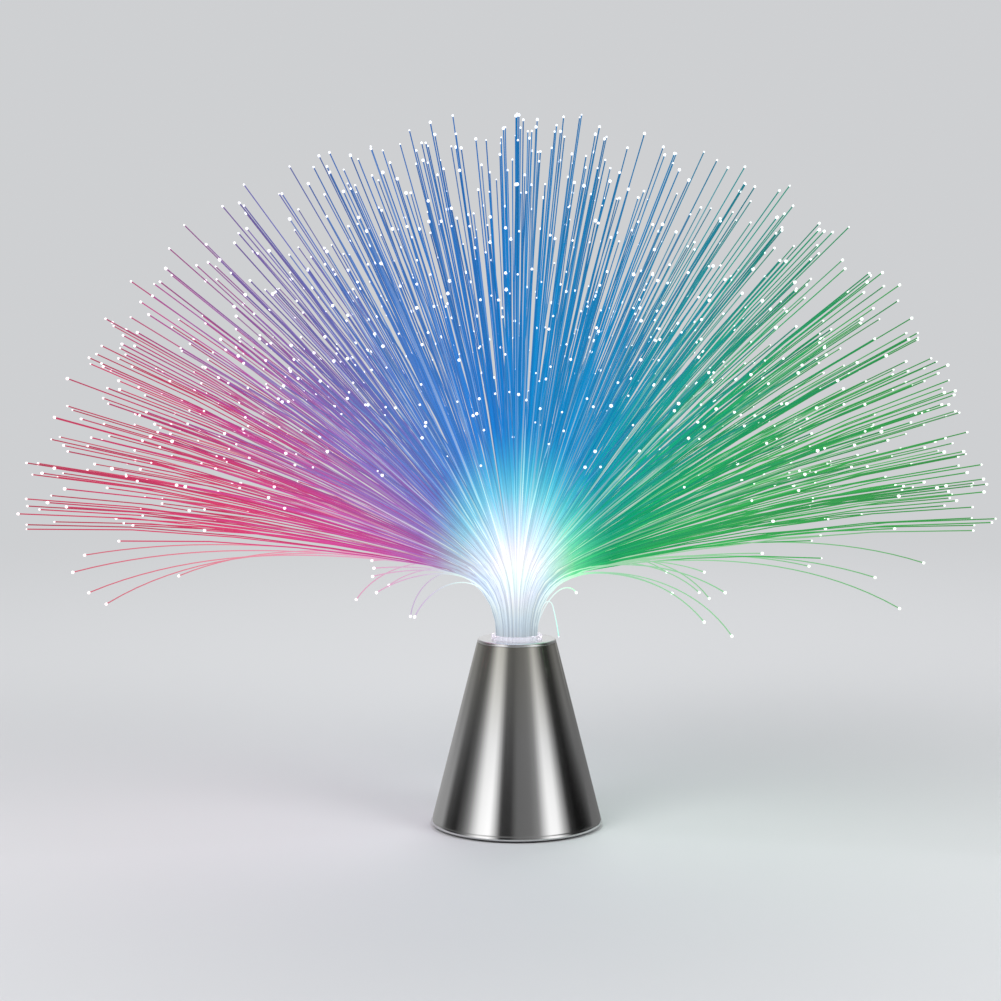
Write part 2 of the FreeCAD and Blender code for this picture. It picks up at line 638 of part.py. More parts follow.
def contact_tab(side, y):
    """The solder tab that stands up through the roof of the bay."""
    x_range = sorted((side * BAY_X, side * (BAY_X - CONTACT_THICKNESS)))
    return box(x_range, (y - TAB_WIDTH / 2, y + TAB_WIDTH / 2), (CELL_CENTRE, BAY_TOP + TAB_RISE))


def make_single_contact(side, number):
    """The contact at one end of the row of cells, with its solder tab."""
    y = CELL_PLACES[number]
    plate = contact_plate(side, (y - CONTACT_WIDTH / 2, y + CONTACT_WIDTH / 2))
    touch = contact_dimple(side, y) if side == cell_side(number) else contact_leaf(side, y)
    return plate.fuse([touch, contact_tab(side, y)]).removeSplitter()


def make_bridge_contact(side, numbers):
    """The contact that joins the nub of one cell to the flat end of its neighbour."""
    places = [CELL_PLACES[number] for number in numbers]
    plate = contact_plate(side, (min(places) - CONTACT_WIDTH / 2, max(places) + CONTACT_WIDTH / 2))
    touches = [
        contact_dimple(side, y) if side == cell_side(number) else contact_leaf(side, y)
        for number, y in zip(numbers, places)
    ]
    return plate.fuse(touches).removeSplitter()


# ---------------------------------------------------------------- the switch
def make_switch_can():
    """The folded steel case, open at the top and slotted below for the knob."""
    centre = (0, SWITCH_Y)
    can = centred_box(centre, CAN_LENGTH, CAN_WIDTH, (PLATE_TOP, CAN_TOP))
    inside = (PLATE_TOP + CAN_WALL, CAN_TOP)
    hollow = centred_box(centre, CAN_LENGTH - 2 * CAN_WALL, CAN_WIDTH - 2 * CAN_WALL, inside)
    slot_length = KNOB[0] + SWITCH_TRAVEL + 2 * SLOT_GAP
    slot = centred_box(centre, slot_length, KNOB[1] + 2 * SLOT_GAP, (PLATE_TOP, PLATE_TOP + CAN_WALL))
    return can.cut([hollow, slot])


def switch_pin_places():
    """Where the three pins stand, as (x, y)."""
    return [(number * PIN_PITCH, SWITCH_Y) for number in (-1, 0, 1)]


def make_switch_pins():
    """The three terminals, flush with the wafer's underside."""
    z_range = (CAN_TOP - WAFER_THICKNESS, CAN_TOP + PIN_RISE)
    return [centred_box(place, *PIN_SIZE, z_range) for place in switch_pin_places()]


def make_switch_wafer():
    """The insulating wafer that closes the can and holds the pins."""
    length = CAN_LENGTH - 2 * CAN_WALL
    width = CAN_WIDTH - 2 * CAN_WALL
    wafer = centred_box((0, SWITCH_Y), length, width, (CAN_TOP - WAFER_THICKNESS, CAN_TOP))
    return wafer.cut(make_switch_pins())


def make_switch_slider():
    """Carriage and knob in one piece, at the end of its travel where the lamp is on."""
    centre = (SWITCH_TRAVEL / 2, SWITCH_Y)
    floor = PLATE_TOP + CAN_WALL
    carriage = centred_box(centre, CARRIAGE[0], CARRIAGE[1], (floor, floor + CARRIAGE[2]))
    knob = centred_box(centre, *KNOB, (PLATE_BOTTOM - KNOB_PROUD, floor))
    return carriage.fuse(knob).removeSplitter()


def make_switch_clips():
    """The two moulded hooks that hold the can down on the plate."""
    clips = []
    for side in (-1, 1):
        inner = CAN_LENGTH / 2 + CLIP_GAP
        y_range = (SWITCH_Y - CLIP_WIDTH / 2, SWITCH_Y + CLIP_WIDTH / 2)
        post_x = sorted((side * inner, side * (inner + CLIP_THICKNESS)))
        nose_x = sorted((side * (inner - CLIP_NOSE), side * (inner + CLIP_THICKNESS)))
        nose_bottom = CAN_TOP + CLIP_GAP
        clips.append(box(post_x, y_range, (PLATE_TOP - FINGER_DEPTH, nose_bottom)))
        clips.append(box(nose_x, y_range, (nose_bottom, nose_bottom + CLIP_THICKNESS)))
    return clips


# ---------------------------------------------------------------- the leads
def make_lead(start, end, arch=0.0):
    """An insulated wire that leaves both its ends upright and can arch over what is between."""
    span_x, span_y = end[0] - start[0], end[1] - start[1]
    reach, rise = math.hypot(span_x, span_y), end[2] - start[2]
    stations = []
    for number in range(LEAD_SPANS + 1):
        share = number / LEAD_SPANS
        turn = math.pi * share
        run = reach * (1 - math.cos(turn)) / 2
        height = start[2] + rise * share + arch * math.sin(turn)
        run_slope = reach * math.pi / 2 * math.sin(turn)
        rise_slope = rise + arch * math.pi * math.cos(turn)
        stations.append((run, height, math.atan2(run_slope, rise_slope)))
    heading = math.degrees(math.atan2(span_y, span_x))
    return turned(bent_bar(stations, LEAD_WIDTH), heading, start[:2])


def tab_end(side, number):
    """The top of a solder tab."""
    return side * (BAY_X - CONTACT_THICKNESS / 2), CELL_PLACES[number], BAY_TOP + TAB_RISE


def pin_end(number):
    """The top of a switch pin."""
    return (*switch_pin_places()[number], CAN_TOP + PIN_RISE)


# ---------------------------------------------------------------- the assembly
def make_lamp():
    """Every node's shape by name."""
    last = len(CELL_PLACES) - 1
    nodes = {
        "outer_sleeve": make_outer_sleeve(),
        "chassis_core": make_chassis_core(),
        "top_collar": make_top_collar(),
        "ferrule": make_ferrule(),
        "fibre_butt": cylinder(BUNDLE_RADIUS, (FERRULE_BOTTOM, BUTT_TOP)),
        "led_board": make_board(),
        "driver_chip": make_under_board(CHIP_SIZE, CHIP_PLACE),
        "resistors": [
            make_under_board(RESISTOR_SIZE, (RESISTOR_PLACE[0], RESISTOR_PLACE[1] - number * RESISTOR_PITCH))
            for number in range(len(LED_NAMES))
        ],
        "board_screws": [
            screw(BOARD_SCREW, BOARD_BOTTOM, (side * BOARD_SCREW_X, 0)) for side in (-1, 1)
        ],
        "base_plate": make_base_plate(),
        "base_screws": [
            screw(BASE_SCREW, PLATE_TOP - COUNTERBORE_FLOOR, on_circle(BASE_SCREW_CIRCLE, angle))
            for angle in BASE_SCREW_ANGLES
        ],
        "battery_door": make_battery_door(),
        "door_screw": screw(DOOR_SCREW, door_screw_seat(), (DOOR_SCREW_X, 0)),
        "contact_positive": make_single_contact(1, 0),
        "contact_negative": make_single_contact(-1, last),
        "contact_bridge_left": make_bridge_contact(-1, (0, 1)),
        "contact_bridge_right": make_bridge_contact(1, (1, last)),
        "switch_can": make_switch_can(),
        "switch_wafer": make_switch_wafer(),
        "switch_pins": make_switch_pins(),
        "switch_slider": make_switch_slider(),
        "lead_red": make_lead(tab_end(1, 0), (*RED_PAD, BOARD_BOTTOM)),
        "lead_black": make_lead(tab_end(-1, last), pin_end(0), LEAD_ARCH),
        "lead_switch": make_lead(pin_end(1), (*SWITCH_PAD, BOARD_BOTTOM)),
    }
    nodes.update(make_fibres())
    for number, name in enumerate(LED_NAMES):
        nodes[name] = make_led((number - 1) * LED_PITCH)
    for number in range(len(CELL_PLACES)):
        nodes[f"aaa_cell_{number + 1}"] = make_cell(number)
    for number, angle in enumerate(FOOT_ANGLES, 1):
        nodes[f"foot_{number}"] = make_foot(angle)
    return nodes


def main():
    """Write one STEP file per node."""
    os.makedirs("parts", exist_ok=True)
    for name, shape in make_lamp().items():
        whole = Part.Compound(shape) if isinstance(shape, list) else shape
        whole.exportStep(f"parts/{name}.step")
        print(name, len(whole.Solids), round(whole.Volume, 1))


main()
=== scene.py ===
"""A battery fibre-optic spray lamp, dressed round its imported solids.

Metres, +Z up, -Y is the front.  Each sub-assembly is a class that holds its own sizes.
"""

import logging
import math
import random
from dataclasses import dataclass
from enum import Enum
from functools import cache
from typing import Callable, Iterable, Sequence

import bmesh
import bpy
from mathutils import Matrix, Vector


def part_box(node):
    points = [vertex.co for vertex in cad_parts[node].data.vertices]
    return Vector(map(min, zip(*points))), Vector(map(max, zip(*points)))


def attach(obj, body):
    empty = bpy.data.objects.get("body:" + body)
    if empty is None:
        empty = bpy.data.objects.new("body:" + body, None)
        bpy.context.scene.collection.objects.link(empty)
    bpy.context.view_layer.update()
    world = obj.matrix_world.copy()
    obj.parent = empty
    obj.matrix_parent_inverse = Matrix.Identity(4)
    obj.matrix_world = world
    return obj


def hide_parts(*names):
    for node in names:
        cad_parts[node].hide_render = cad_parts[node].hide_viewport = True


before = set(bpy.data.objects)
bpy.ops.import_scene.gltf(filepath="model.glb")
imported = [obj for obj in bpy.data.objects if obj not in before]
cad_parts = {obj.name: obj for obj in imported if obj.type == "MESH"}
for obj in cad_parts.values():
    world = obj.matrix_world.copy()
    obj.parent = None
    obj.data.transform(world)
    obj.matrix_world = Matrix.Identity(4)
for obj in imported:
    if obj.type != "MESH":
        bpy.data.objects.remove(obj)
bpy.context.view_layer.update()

LOG = logging.getLogger("lamp")
Mesh = bmesh.types.BMesh
Node = bpy.types.Node
Socket = bpy.types.NodeSocket
Sockets = dict[str, Socket]
Feeds = dict[str, object]
Tree = bpy.types.NodeTree
Triple = tuple[float, float, float]
Stops = Sequence[tuple[float, Triple | float]]
Profile = Sequence[tuple[float, float]]
MM = 0.001
ACRYLIC_IOR = 1.49


class Body(Enum):
    """The moving bodies that a piece can ride on."""

    BASE = "base"
    BUNDLE = "bundle"
    DOOR = "door"
    SLIDER = "slider"


# ---- mesh helpers
def lathe(profile: Profile, steps: int, closed: bool = True, merged: float = 0.0001 * MM) -> Mesh:
    """Turns an outline about the lamp's axis.

    Args:
        profile: (radius, height) corners in order.
        steps: segments in the full turn.
        closed: whether the last corner joins the first; an open outline ends on the axis.
        merged: corners closer than this become one.

    Returns:
        The turned mesh, closed and facing outwards.
    """
    bm = bmesh.new()
    verts = [bm.verts.new((radius, 0, height)) for radius, height in profile]
    ends = verts[1:] + verts[:1] if closed else verts[1:]
    edges = [bm.edges.new(pair) for pair in zip(verts, ends)]
    bmesh.ops.spin(bm, geom=verts + edges, cent=(0, 0, 0), axis=(0, 0, 1), angle=math.tau,
                   steps=steps, use_merge=True)
    bmesh.ops.remove_doubles(bm, verts=bm.verts, dist=merged)
    bmesh.ops.recalc_face_normals(bm, faces=bm.faces)
    return bm


def soften(bm: Mesh, width: float, segments: int, from_degrees: float = 30) -> None:
    """Rounds every edge that turns by more than some degrees, with a number of faces across."""
    limit = math.radians(from_degrees)
    sharp = [edge for edge in bm.edges if edge.is_manifold and edge.calc_face_angle() > limit]
    bmesh.ops.bevel(bm, geom=sharp, offset=width, segments=segments, profile=0.5, affect="EDGES",
                    material=-1, clamp_overlap=True)


def polar(radius: float, degrees: float, height: float = 0.0) -> Vector:
    """A place by its distance from the lamp's axis, its turn round it and its height."""
    turn = math.radians(degrees)
    return Vector((radius * math.cos(turn), radius * math.sin(turn), height))


def stamped(bm: Mesh, pattern: list) -> list[bmesh.types.BMVert]:
    """Copies part of a mesh and gives back the copy's corners."""
    copy = bmesh.ops.duplicate(bm, geom=pattern)["geom"]
    return [item for item in copy if isinstance(item, bmesh.types.BMVert)]


def repeated(bm: Mesh, places: Iterable[Sequence[float]]) -> Mesh:
    """Puts a copy of a mesh at each place; the pattern at the origin is used up."""
    pattern = [*bm.verts, *bm.edges, *bm.faces]
    for place in places:
        bmesh.ops.translate(bm, verts=stamped(bm, pattern), vec=place)
    bmesh.ops.delete(bm, geom=pattern, context="VERTS")
    return bm


def placed(name: str, data: bpy.types.ID) -> bpy.types.Object:
    """Makes an object at the origin and adds it to the scene."""
    thing = bpy.data.objects.new(name, data)
    bpy.context.scene.collection.objects.link(thing)
    return thing


def placed_mesh(name: str, bm: Mesh) -> bpy.types.Object:
    """Makes an object of a mesh, which is used up."""
    data = bpy.data.meshes.new(name)
    bm.to_mesh(data)
    bm.free()
    return placed(name, data)


def carved(bm: Mesh, cutter: Mesh) -> Mesh:
    """Cuts one mesh out of another; both are used up."""
    whole, tool = (placed_mesh("cut", mesh) for mesh in (bm, cutter))
    change = whole.modifiers.new("cut", "BOOLEAN")
    change.object, change.operation, change.solver = tool, "DIFFERENCE", "EXACT"
    change.use_self = True
    result = bmesh.new()
    result.from_mesh(whole.evaluated_get(bpy.context.evaluated_depsgraph_get()).to_mesh())
    for thing in (whole, tool):
        bpy.data.objects.remove(thing, do_unlink=True)
    return result


def rounded_node(node: str, edge: float) -> Mesh:
    """A CAD node's mesh, its triangles joined into whole faces and its edges rounded."""
    bm = bmesh.new()
    bm.from_mesh(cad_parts[node].data)
    bmesh.ops.remove_doubles(bm, verts=bm.verts, dist=0.002 * MM)
    bmesh.ops.dissolve_limit(bm, angle_limit=math.radians(1), verts=bm.verts, edges=bm.edges)
    soften(bm, edge, 2, 40)
    return bm


def node_box(node: str) -> tuple[Vector, Vector]:
    """The low and high corner of a CAD node."""
    low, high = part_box(node)
    return Vector(low), Vector(high)


# ---- shader helpers
class Graph:
    """A node tree that is filled in with short calls."""

    def __init__(self, tree: Tree) -> None:
        """Starts on an empty tree."""
        self.tree = tree
        tree.nodes.clear()

    def feed(self, node: Node, inputs: dict) -> None:
        """Links a socket to each named or numbered input, or sets its value."""
        for key, value in inputs.items():
            socket = node.inputs[key]
            if isinstance(value, Socket):
                self.tree.links.new(value, socket)
            else:
                socket.default_value = (*value, 1) if socket.type == "RGBA" else value

    def add(self, kind: str, inputs: dict, **settings: object) -> Node:
        """Adds a node by its type's name after "ShaderNode", with its inputs and its own properties."""
        node = self.tree.nodes.new(f"ShaderNode{kind}")
        for key, value in settings.items():
            setattr(node, key, value)
        self.feed(node, inputs)
        return node

    def out(self, kind: str, inputs: dict, output: str | int = 0, **settings: object) -> Socket:
        """Adds a node and gives back one of its outputs."""
        return self.add(kind, inputs, **settings).outputs[output]

    def maths(self, operation: str, *values: object) -> Socket:
        """The result of a sum on up to three values or sockets."""
        return self.out("Math", dict(enumerate(values)), operation=operation)

    def scaled(self, vector: object, by: object) -> Socket:
        """A vector or colour times a number."""
        return self.out("VectorMath", {0: vector, "Scale": by}, operation="SCALE")

    def length(self, vector: Socket) -> Socket:
        """How long a vector is."""
        return self.out("VectorMath", {0: vector}, "Value", operation="LENGTH")

    def share(self, value: Socket, low: float, high: float, **settings: object) -> Socket:
        """How far a value is from a low to a high one, from 0 to 1."""
        return self.out("MapRange", {0: value, 1: low, 2: high}, **settings)

    def mix(self, share: object, first: object, second: object, blend: str = "MIX") -> Socket:
        """Blends two colours by a share."""
        return self.out("Mix", {0: share, 6: first, 7: second}, 2, data_type="RGBA",
                        blend_type=blend, clamp_factor=True)

    def ramp(self, value: Socket, stops: Stops) -> Socket:
        """Looks up a value in a row of (position, colour or grey) stops."""
        node = self.add("ValToRGB", {0: value})
        elements = node.color_ramp.elements
        while len(elements) < len(stops):
            elements.new(0.5)
        for element, (position, colour) in zip(elements, stops):
            element.position = position
            element.color = (*(colour if isinstance(colour, tuple) else (colour,) * 3), 1)
        return node.outputs[0]

    def place(self, scale: Triple = (1, 1, 1)) -> Socket:
        """Object coordinates, scaled along each axis."""
        return self.out("Mapping", {"Vector": self.out("TexCoord", {}, "Object"), "Scale": scale})

    def noise(self, scale: object, detail: float = 2, roughness: float = 0.5,
              stretch: Triple = (1, 1, 1)) -> Socket:
        """Noise from 0 to 1 on the piece."""
        return self.out("TexNoise", {"Vector": self.place(stretch), "Scale": scale,
                                     "Detail": detail, "Roughness": roughness})

    def two_noises(self, broad: Socket, fine: Socket, share: float,
                   amount: Socket) -> tuple[Socket, Socket]:
        """A blend of two noises, and how far it is from its middle times an amount."""
        both = self.maths("MULTIPLY_ADD", fine, share, self.maths("MULTIPLY", broad, 1 - share))
        return both, self.maths("MULTIPLY", self.maths("SUBTRACT", both, 0.5), amount)

    def bump(self, height: Socket, strength: float, depth: float = 0.02 * MM) -> Socket:
        """The normal of a relief."""
        return self.out("Bump", {"Strength": strength, "Distance": depth, "Height": height})

    def marked(self, roughness: object, amount: float = 0.2) -> Socket:
        """A roughness with handling marks."""
        return self.maths("ADD", roughness, self.effect(handling_marks, Amount=amount)["Mask"])

    def effect(self, fill: Callable, **inputs: object) -> Sockets:
        """Adds a shared effect and gives back its outputs."""
        return self.add("Group", inputs, node_tree=effect_tree(fill, tuple(inputs))).outputs


@cache
def effect_tree(fill: Callable[[Graph, Sockets], Sockets], inputs: tuple[str, ...]) -> Tree:
    """Makes a shared effect's group the first time that it is asked for.

    Args:
        fill: builds the nodes from the group's inputs and gives back each output.
        inputs: the inputs' names, "Place" for a vector and any other for a number.
    """
    tree = bpy.data.node_groups.new(fill.__name__.replace("_", " "), "ShaderNodeTree")
    for label in inputs:
        kind = "NodeSocketVector" if label == "Place" else "NodeSocketFloat"
        tree.interface.new_socket(label, in_out="INPUT", socket_type=kind)
    graph = Graph(tree)
    found = fill(graph, tree.nodes.new("NodeGroupInput").outputs)
    for label, socket in found.items():
        kind = "NodeSocketColor" if socket.type == "RGBA" else "NodeSocketFloat"
        tree.interface.new_socket(label, in_out="OUTPUT", socket_type=kind)
    graph.feed(tree.nodes.new("NodeGroupOutput"), found)
    return tree


def handling_marks(graph: Graph, given: Sockets) -> Sockets:
    """Soft smudges and fine scuffs from being handled."""
    broad, fine = graph.noise(55, 3, 0.6), graph.noise(900, stretch=(1, 1, 2.5))
    return {"Mask": graph.two_noises(broad, fine, 0.35, given["Amount"])[1]}


def turned_lines(graph: Graph, given: Sockets) -> Sockets:
    """Fine lines round the lamp's axis, as a lathe or a brush leaves them."""
    coarse, fine = graph.noise(1, 3, 0.7, (40, 40, 2600)), graph.noise(1, 2, 0.6, (90, 90, 9000))
    height, mask = graph.two_noises(coarse, fine, 0.5, given["Amount"])
    return {"Height": height, "Mask": mask}


def moulded_grain(graph: Graph, given: Sockets) -> Sockets:
    """The fine pebbled texture of a spark-eroded mould, and broad blotches."""
    return {"Height": graph.noise(given["Scale"]), "Mask": graph.noise(140, 3)}


@dataclass(frozen=True)
class LedLight:
    """How the light spreads from the white-hot core, from the red LED at the left to the green."""

    core_height: float = 121 * MM
    core_softness: float = 4 * MM
    depth_share: float = 0.15
    hue_by_direction: float = 0.715
    hue_by_distance: float = 1.24
    hues: Stops = (
        (0.00, (0.55, 0.02, 0.07)), (0.08, (0.60, 0.03, 0.13)), (0.13, (0.48, 0.05, 0.26)),
        (0.165, (0.30, 0.11, 0.37)), (0.22, (0.17, 0.13, 0.42)), (0.30, (0.05, 0.16, 0.47)),
        (0.46, (0.0, 0.16, 0.51)), (0.54, (0.0, 0.20, 0.50)), (0.67, (0.0, 0.20, 0.43)),
        (0.74, (0.0, 0.26, 0.30)), (0.80, (0.0, 0.29, 0.18)), (0.84, (0.0, 0.31, 0.11)),
        (0.89, (0.02, 0.34, 0.07)), (1.0, (0.04, 0.33, 0.05)))
    mixed_hue: Triple = (0.0, 0.17, 0.52)
    mixed_to: tuple[float, float] = (12 * MM, 42 * MM)
    halo_width: float = 1.6
    halo_below: float = -1.2
    halo_reach: float = 100 * MM
    halo: Stops = (
        (0.0, (0.95, 0.82, 0.36)), (0.06, (0.93, 0.80, 0.36)), (0.15, (0.84, 0.65, 0.36)),
        (0.25, (0.56, 0.57, 0.34)), (0.34, (0.37, 0.47, 0.27)), (0.44, (0.13, 0.35, 0.17)),
        (0.53, (0.05, 0.21, 0.09)), (0.62, (0.02, 0.09, 0.04)), (0.72, 0.0))

    def led_light(self, graph: Graph, given: Sockets) -> Sockets:
        """Finds the hue by the direction from the core, and the halo by the distance to it."""
        from_core = graph.out("VectorMath", {0: given["Place"], 1: (0, 0, -self.core_height)})
        away = graph.length(graph.out("Mapping", {0: from_core, 3: (1, self.depth_share, 1)}))
        x, y, z = graph.add("SeparateXYZ", {0: from_core}).outputs
        facing = graph.maths("DIVIDE", x, graph.maths("ADD", away, self.core_softness))
        side = graph.maths("ADD", graph.maths("MULTIPLY", facing, self.hue_by_direction),
                           graph.maths("MULTIPLY", x, self.hue_by_distance))
        side = graph.maths("ADD", side, given["Shift"])
        hue = graph.ramp(graph.maths("MULTIPLY_ADD", side, 0.5, 0.5), self.hues)
        core = graph.length(graph.out("CombineXYZ", {
            0: graph.maths("MULTIPLY", x, self.halo_width),
            1: graph.maths("MULTIPLY", y, self.depth_share),
            2: graph.maths("MAXIMUM", z, graph.maths("MULTIPLY", z, self.halo_below))}))
        halo = graph.ramp(graph.maths("DIVIDE", core, self.halo_reach), self.halo)
        return {"Hue": graph.mix(graph.share(core, *self.mixed_to), self.mixed_hue, hue), "Halo": halo}


LIGHT = LedLight()


# ---- finishes
@dataclass(frozen=True)
class Finish:
    """What all finishes share: a name, and a shader that each feeds in its own way."""

    name: str
    lights_others = True

    def feeds(self, graph: Graph) -> Feeds:
        """A value or socket for each input of the shader that the finish sets."""
        raise NotImplementedError

    def surface(self, graph: Graph, shader: Socket) -> Socket:
        """What reaches the output."""
        return shader

    def lit(self, glow: object, strength: float, roughness: float) -> Feeds:
        """What a smooth piece that glows in its own colour sets."""
        return {"Base Color": glow, "Emission Color": glow, "Emission Strength": strength,
                "Roughness": roughness}

    @cache
    def material(self) -> bpy.types.Material:
        """Builds the material the first time that it is asked for."""
        material = bpy.data.materials.new(self.name)
        material.use_nodes = True
        if not self.lights_others:
            material.cycles.emission_sampling = "NONE"
        graph = Graph(material.node_tree)
        shader = graph.out("BsdfPrincipled", self.feeds(graph))
        graph.add("OutputMaterial", {"Surface": self.surface(graph, shader)})
        return material


@dataclass(frozen=True)
class MetalFinish(Finish):
    """Bare or plated metal with turned lines and handling marks; its colour can be painted darker and
    warmer with height, which is painted shade with a warm cast.
    """

    colour: Triple
    roughness: float
    lines: float = 0.12
    marks: float = 0.12
    relief: float = 0.15
    painted_shade_colour: Triple | None = None
    painted_shade_from: float = 1.0
    painted_shade_to: float = 2.0

    def feeds(self, graph: Graph) -> Feeds:
        """Painted shade by height, roughness by lines and marks, relief by lines."""
        lines = graph.effect(turned_lines, Amount=self.lines)
        height = graph.out("SeparateXYZ", {0: graph.place()}, 2)
        # painted shade: the colour turns darker and warmer with height
        tint = graph.mix(graph.share(height, self.painted_shade_from, self.painted_shade_to), self.colour,
                         self.painted_shade_colour or self.colour)
        shade = graph.maths("MULTIPLY_ADD", lines["Mask"], 0.5, 1.0)
        rough = graph.maths("ADD", self.roughness, lines["Mask"])
        return {"Base Color": graph.scaled(tint, shade), "Metallic": 1.0,
                "Roughness": graph.marked(rough, self.marks),
                "Normal": graph.bump(lines["Height"], self.relief)}


@dataclass(frozen=True)
class PlasticFinish(Finish):
    """Moulded plastic or rubber with a fine grain."""

    colour: Triple
    roughness: float
    grain: float = 3000
    relief: float = 0.2
    mottle: float = 0.12
    marks: float = 0.15

    def feeds(self, graph: Graph) -> Feeds:
        """Mottled colour, marked roughness and a grain relief."""
        grain = graph.effect(moulded_grain, Scale=self.grain)
        shade = graph.maths("MULTIPLY_ADD", graph.maths("SUBTRACT", grain["Mask"], 0.5),
                            self.mottle * 2, 1.0)
        return {"Base Color": graph.scaled(self.colour, shade),
                "Roughness": graph.marked(self.roughness, self.marks),
                "Normal": graph.bump(grain["Height"], self.relief)}


@dataclass(frozen=True)
class ClearFinish(Finish):
    """Clear or tinted glossy plastic that lets light through and has an emission: on an LED its own
    light, on the ferrule a faint painted glow that stands for the lit bundle inside it.
    """

    colour: Triple
    glow: Triple
    glow_strength: float
    clearness: float
    roughness: float = 0.08
    marks: float = 0.1

    def feeds(self, graph: Graph) -> Feeds:
        """Even colour and glow, and a marked roughness."""
        return {"Base Color": self.colour, "Transmission Weight": self.clearness,
                "IOR": ACRYLIC_IOR, "Emission Color": self.glow,
                "Emission Strength": self.glow_strength,
                "Roughness": graph.marked(self.roughness, self.marks)}


@dataclass(frozen=True)
class FibreFinish(Finish):
    """A lit light guide: white hot above the neck, then the hue of its LED, weaker to its end.

    The guide attribute holds each fibre's paleness, how far along it is, and its light level.
    """

    painted_led_hue_level: float = 0.22
    level_shift: float = 0.12
    roughness: float = 0.3
    pale: Triple = (0.80, 0.88, 0.80)
    pale_reach: float = 1.15
    fade: Stops = ((0.0, 0.04), (0.06, 0.28), (0.14, 1.0), (0.45, 1.0), (0.8, 0.8), (1.0, 0.66))
    cooled: Stops = ((0.0, (0.5, 0.8, 1)), (0.06, (0.55, 0.85, 1)), (0.11, (0.68, 0.9, 1)), (0.17, 1.0))
    foot: Stops = ((0.0, (0.26, 0.08, 0.18)), (0.03, (0.235, 0.085, 0.19)),
                   (0.06, (0.23, 0.09, 0.17)), (0.10, (0.14, 0.04, 0.12)), (0.15, 0.0))
    lights_others = False

    def feeds(self, graph: Graph) -> Feeds:
        """The glow by the place in the spray and the fibre's own guide attribute."""
        guide = graph.out("Attribute", {}, "Vector", attribute_name="guide")
        paleness, along, level = graph.add("SeparateXYZ", {0: guide}).outputs
        shift = graph.maths("MULTIPLY", graph.maths("SUBTRACT", level, 1.0), self.level_shift)
        light = graph.effect(LIGHT.led_light, Place=graph.place(), Shift=shift)
        paled = graph.maths("MULTIPLY", paleness, graph.maths("SUBTRACT", self.pale_reach, along))
        hue = graph.mix(paled, light["Hue"], self.pale)
        strong = graph.mix(1, hue, graph.ramp(along, self.fade), "MULTIPLY")
        halo = graph.mix(1, light["Halo"], graph.ramp(along, self.cooled), "MULTIPLY")
        lit = graph.mix(1, graph.mix(1, strong, halo, "ADD"), graph.ramp(along, self.foot), "ADD")
        # The base colour is painted with the LED's hue: painted light, as the clear fibres have no colour
        # of their own.
        return {"Base Color": graph.scaled(light["Hue"], self.painted_led_hue_level),
                "Emission Color": graph.scaled(lit, level), "Emission Strength": 1.0,
                "Roughness": self.roughness, "IOR": ACRYLIC_IOR}


@dataclass(frozen=True)
class TipFinish(Finish):
    """The bright end of a fibre."""

    whiteness: float = 0.72
    lights_others = False

    def feeds(self, graph: Graph) -> Feeds:
        """A nearly white glow with a touch of the fibre's hue."""
        light = graph.effect(LIGHT.led_light, Place=graph.place(), Shift=0.0)
        return self.lit(graph.mix(self.whiteness, light["Hue"], (1, 1, 1)), strength=1.25, roughness=0.2)


@dataclass(frozen=True)
class ButtFinish(Finish):
    """The polished end of the bundle: each fibre's end is a small bright dot in clear glue."""

    pitch: float = 0.5 * MM
    scatter: float = 0.35
    dot: Stops = ((0.0, 1.0), (0.36, 0.9), (0.44, 0.1))
    tint: Triple = (0.72, 0.88, 1.0)
    lights_others = False

    def feeds(self, graph: Graph) -> Feeds:
        """Dots round the nearest cell centres, each with its own brightness."""
        cells = graph.add("TexVoronoi", {"Vector": graph.place((1, 1, 0.02)), "Scale": 1 / self.pitch,
                                         "Randomness": self.scatter}).outputs
        own = graph.mix(self.scatter, (1, 1, 1), cells["Color"])
        dots = graph.mix(1, graph.ramp(cells["Distance"], self.dot), own, "MULTIPLY")
        return self.lit(graph.mix(1, dots, self.tint, "MULTIPLY"), strength=1.1, roughness=0.12)


@dataclass(frozen=True)
class BoardFinish(Finish):
    """A white printed board with a faint pattern of tracks under its varnish."""

    colour: Triple = (0.72, 0.73, 0.69)
    track: Triple = (0.52, 0.54, 0.48)
    roughness: float = 0.25

    def feeds(self, graph: Graph) -> Feeds:
        """Tracks from a brick pattern, raised a little."""
        tracks = graph.out("TexBrick", {
            "Vector": graph.place(), "Color1": (0, 0, 0), "Color2": (0, 0, 0), "Mortar": (1, 1, 1),
            "Scale": 60.0, "Mortar Size": 0.018, "Brick Width": 0.62, "Row Height": 0.2}, "Color")
        return {"Base Color": graph.mix(tracks, self.colour, self.track),
                "Roughness": graph.marked(self.roughness),
                "Normal": graph.bump(tracks, strength=0.3, depth=0.03 * MM)}


@dataclass(frozen=True)
class JacketFinish(Finish):
    """The shrunk plastic jacket of a dry cell, in two plain colours with a silver line between."""

    band: Triple = (0.50, 0.24, 0.06)
    line: Triple = (0.6, 0.6, 0.58)
    body: Triple = (0.025, 0.027, 0.032)
    roughness: float = 0.3

    def feeds(self, graph: Graph) -> Feeds:
        """The colours by the place along the cell."""
        along = graph.out("Attribute", {}, "Fac", attribute_name="along")
        colour = graph.ramp(along, ((0.0, self.band), (0.27, self.band), (0.272, self.line),
                                    (0.285, self.line), (0.287, self.body), (1.0, self.body)))
        return {"Base Color": colour, "Metallic": 0.35, "Roughness": graph.marked(self.roughness)}


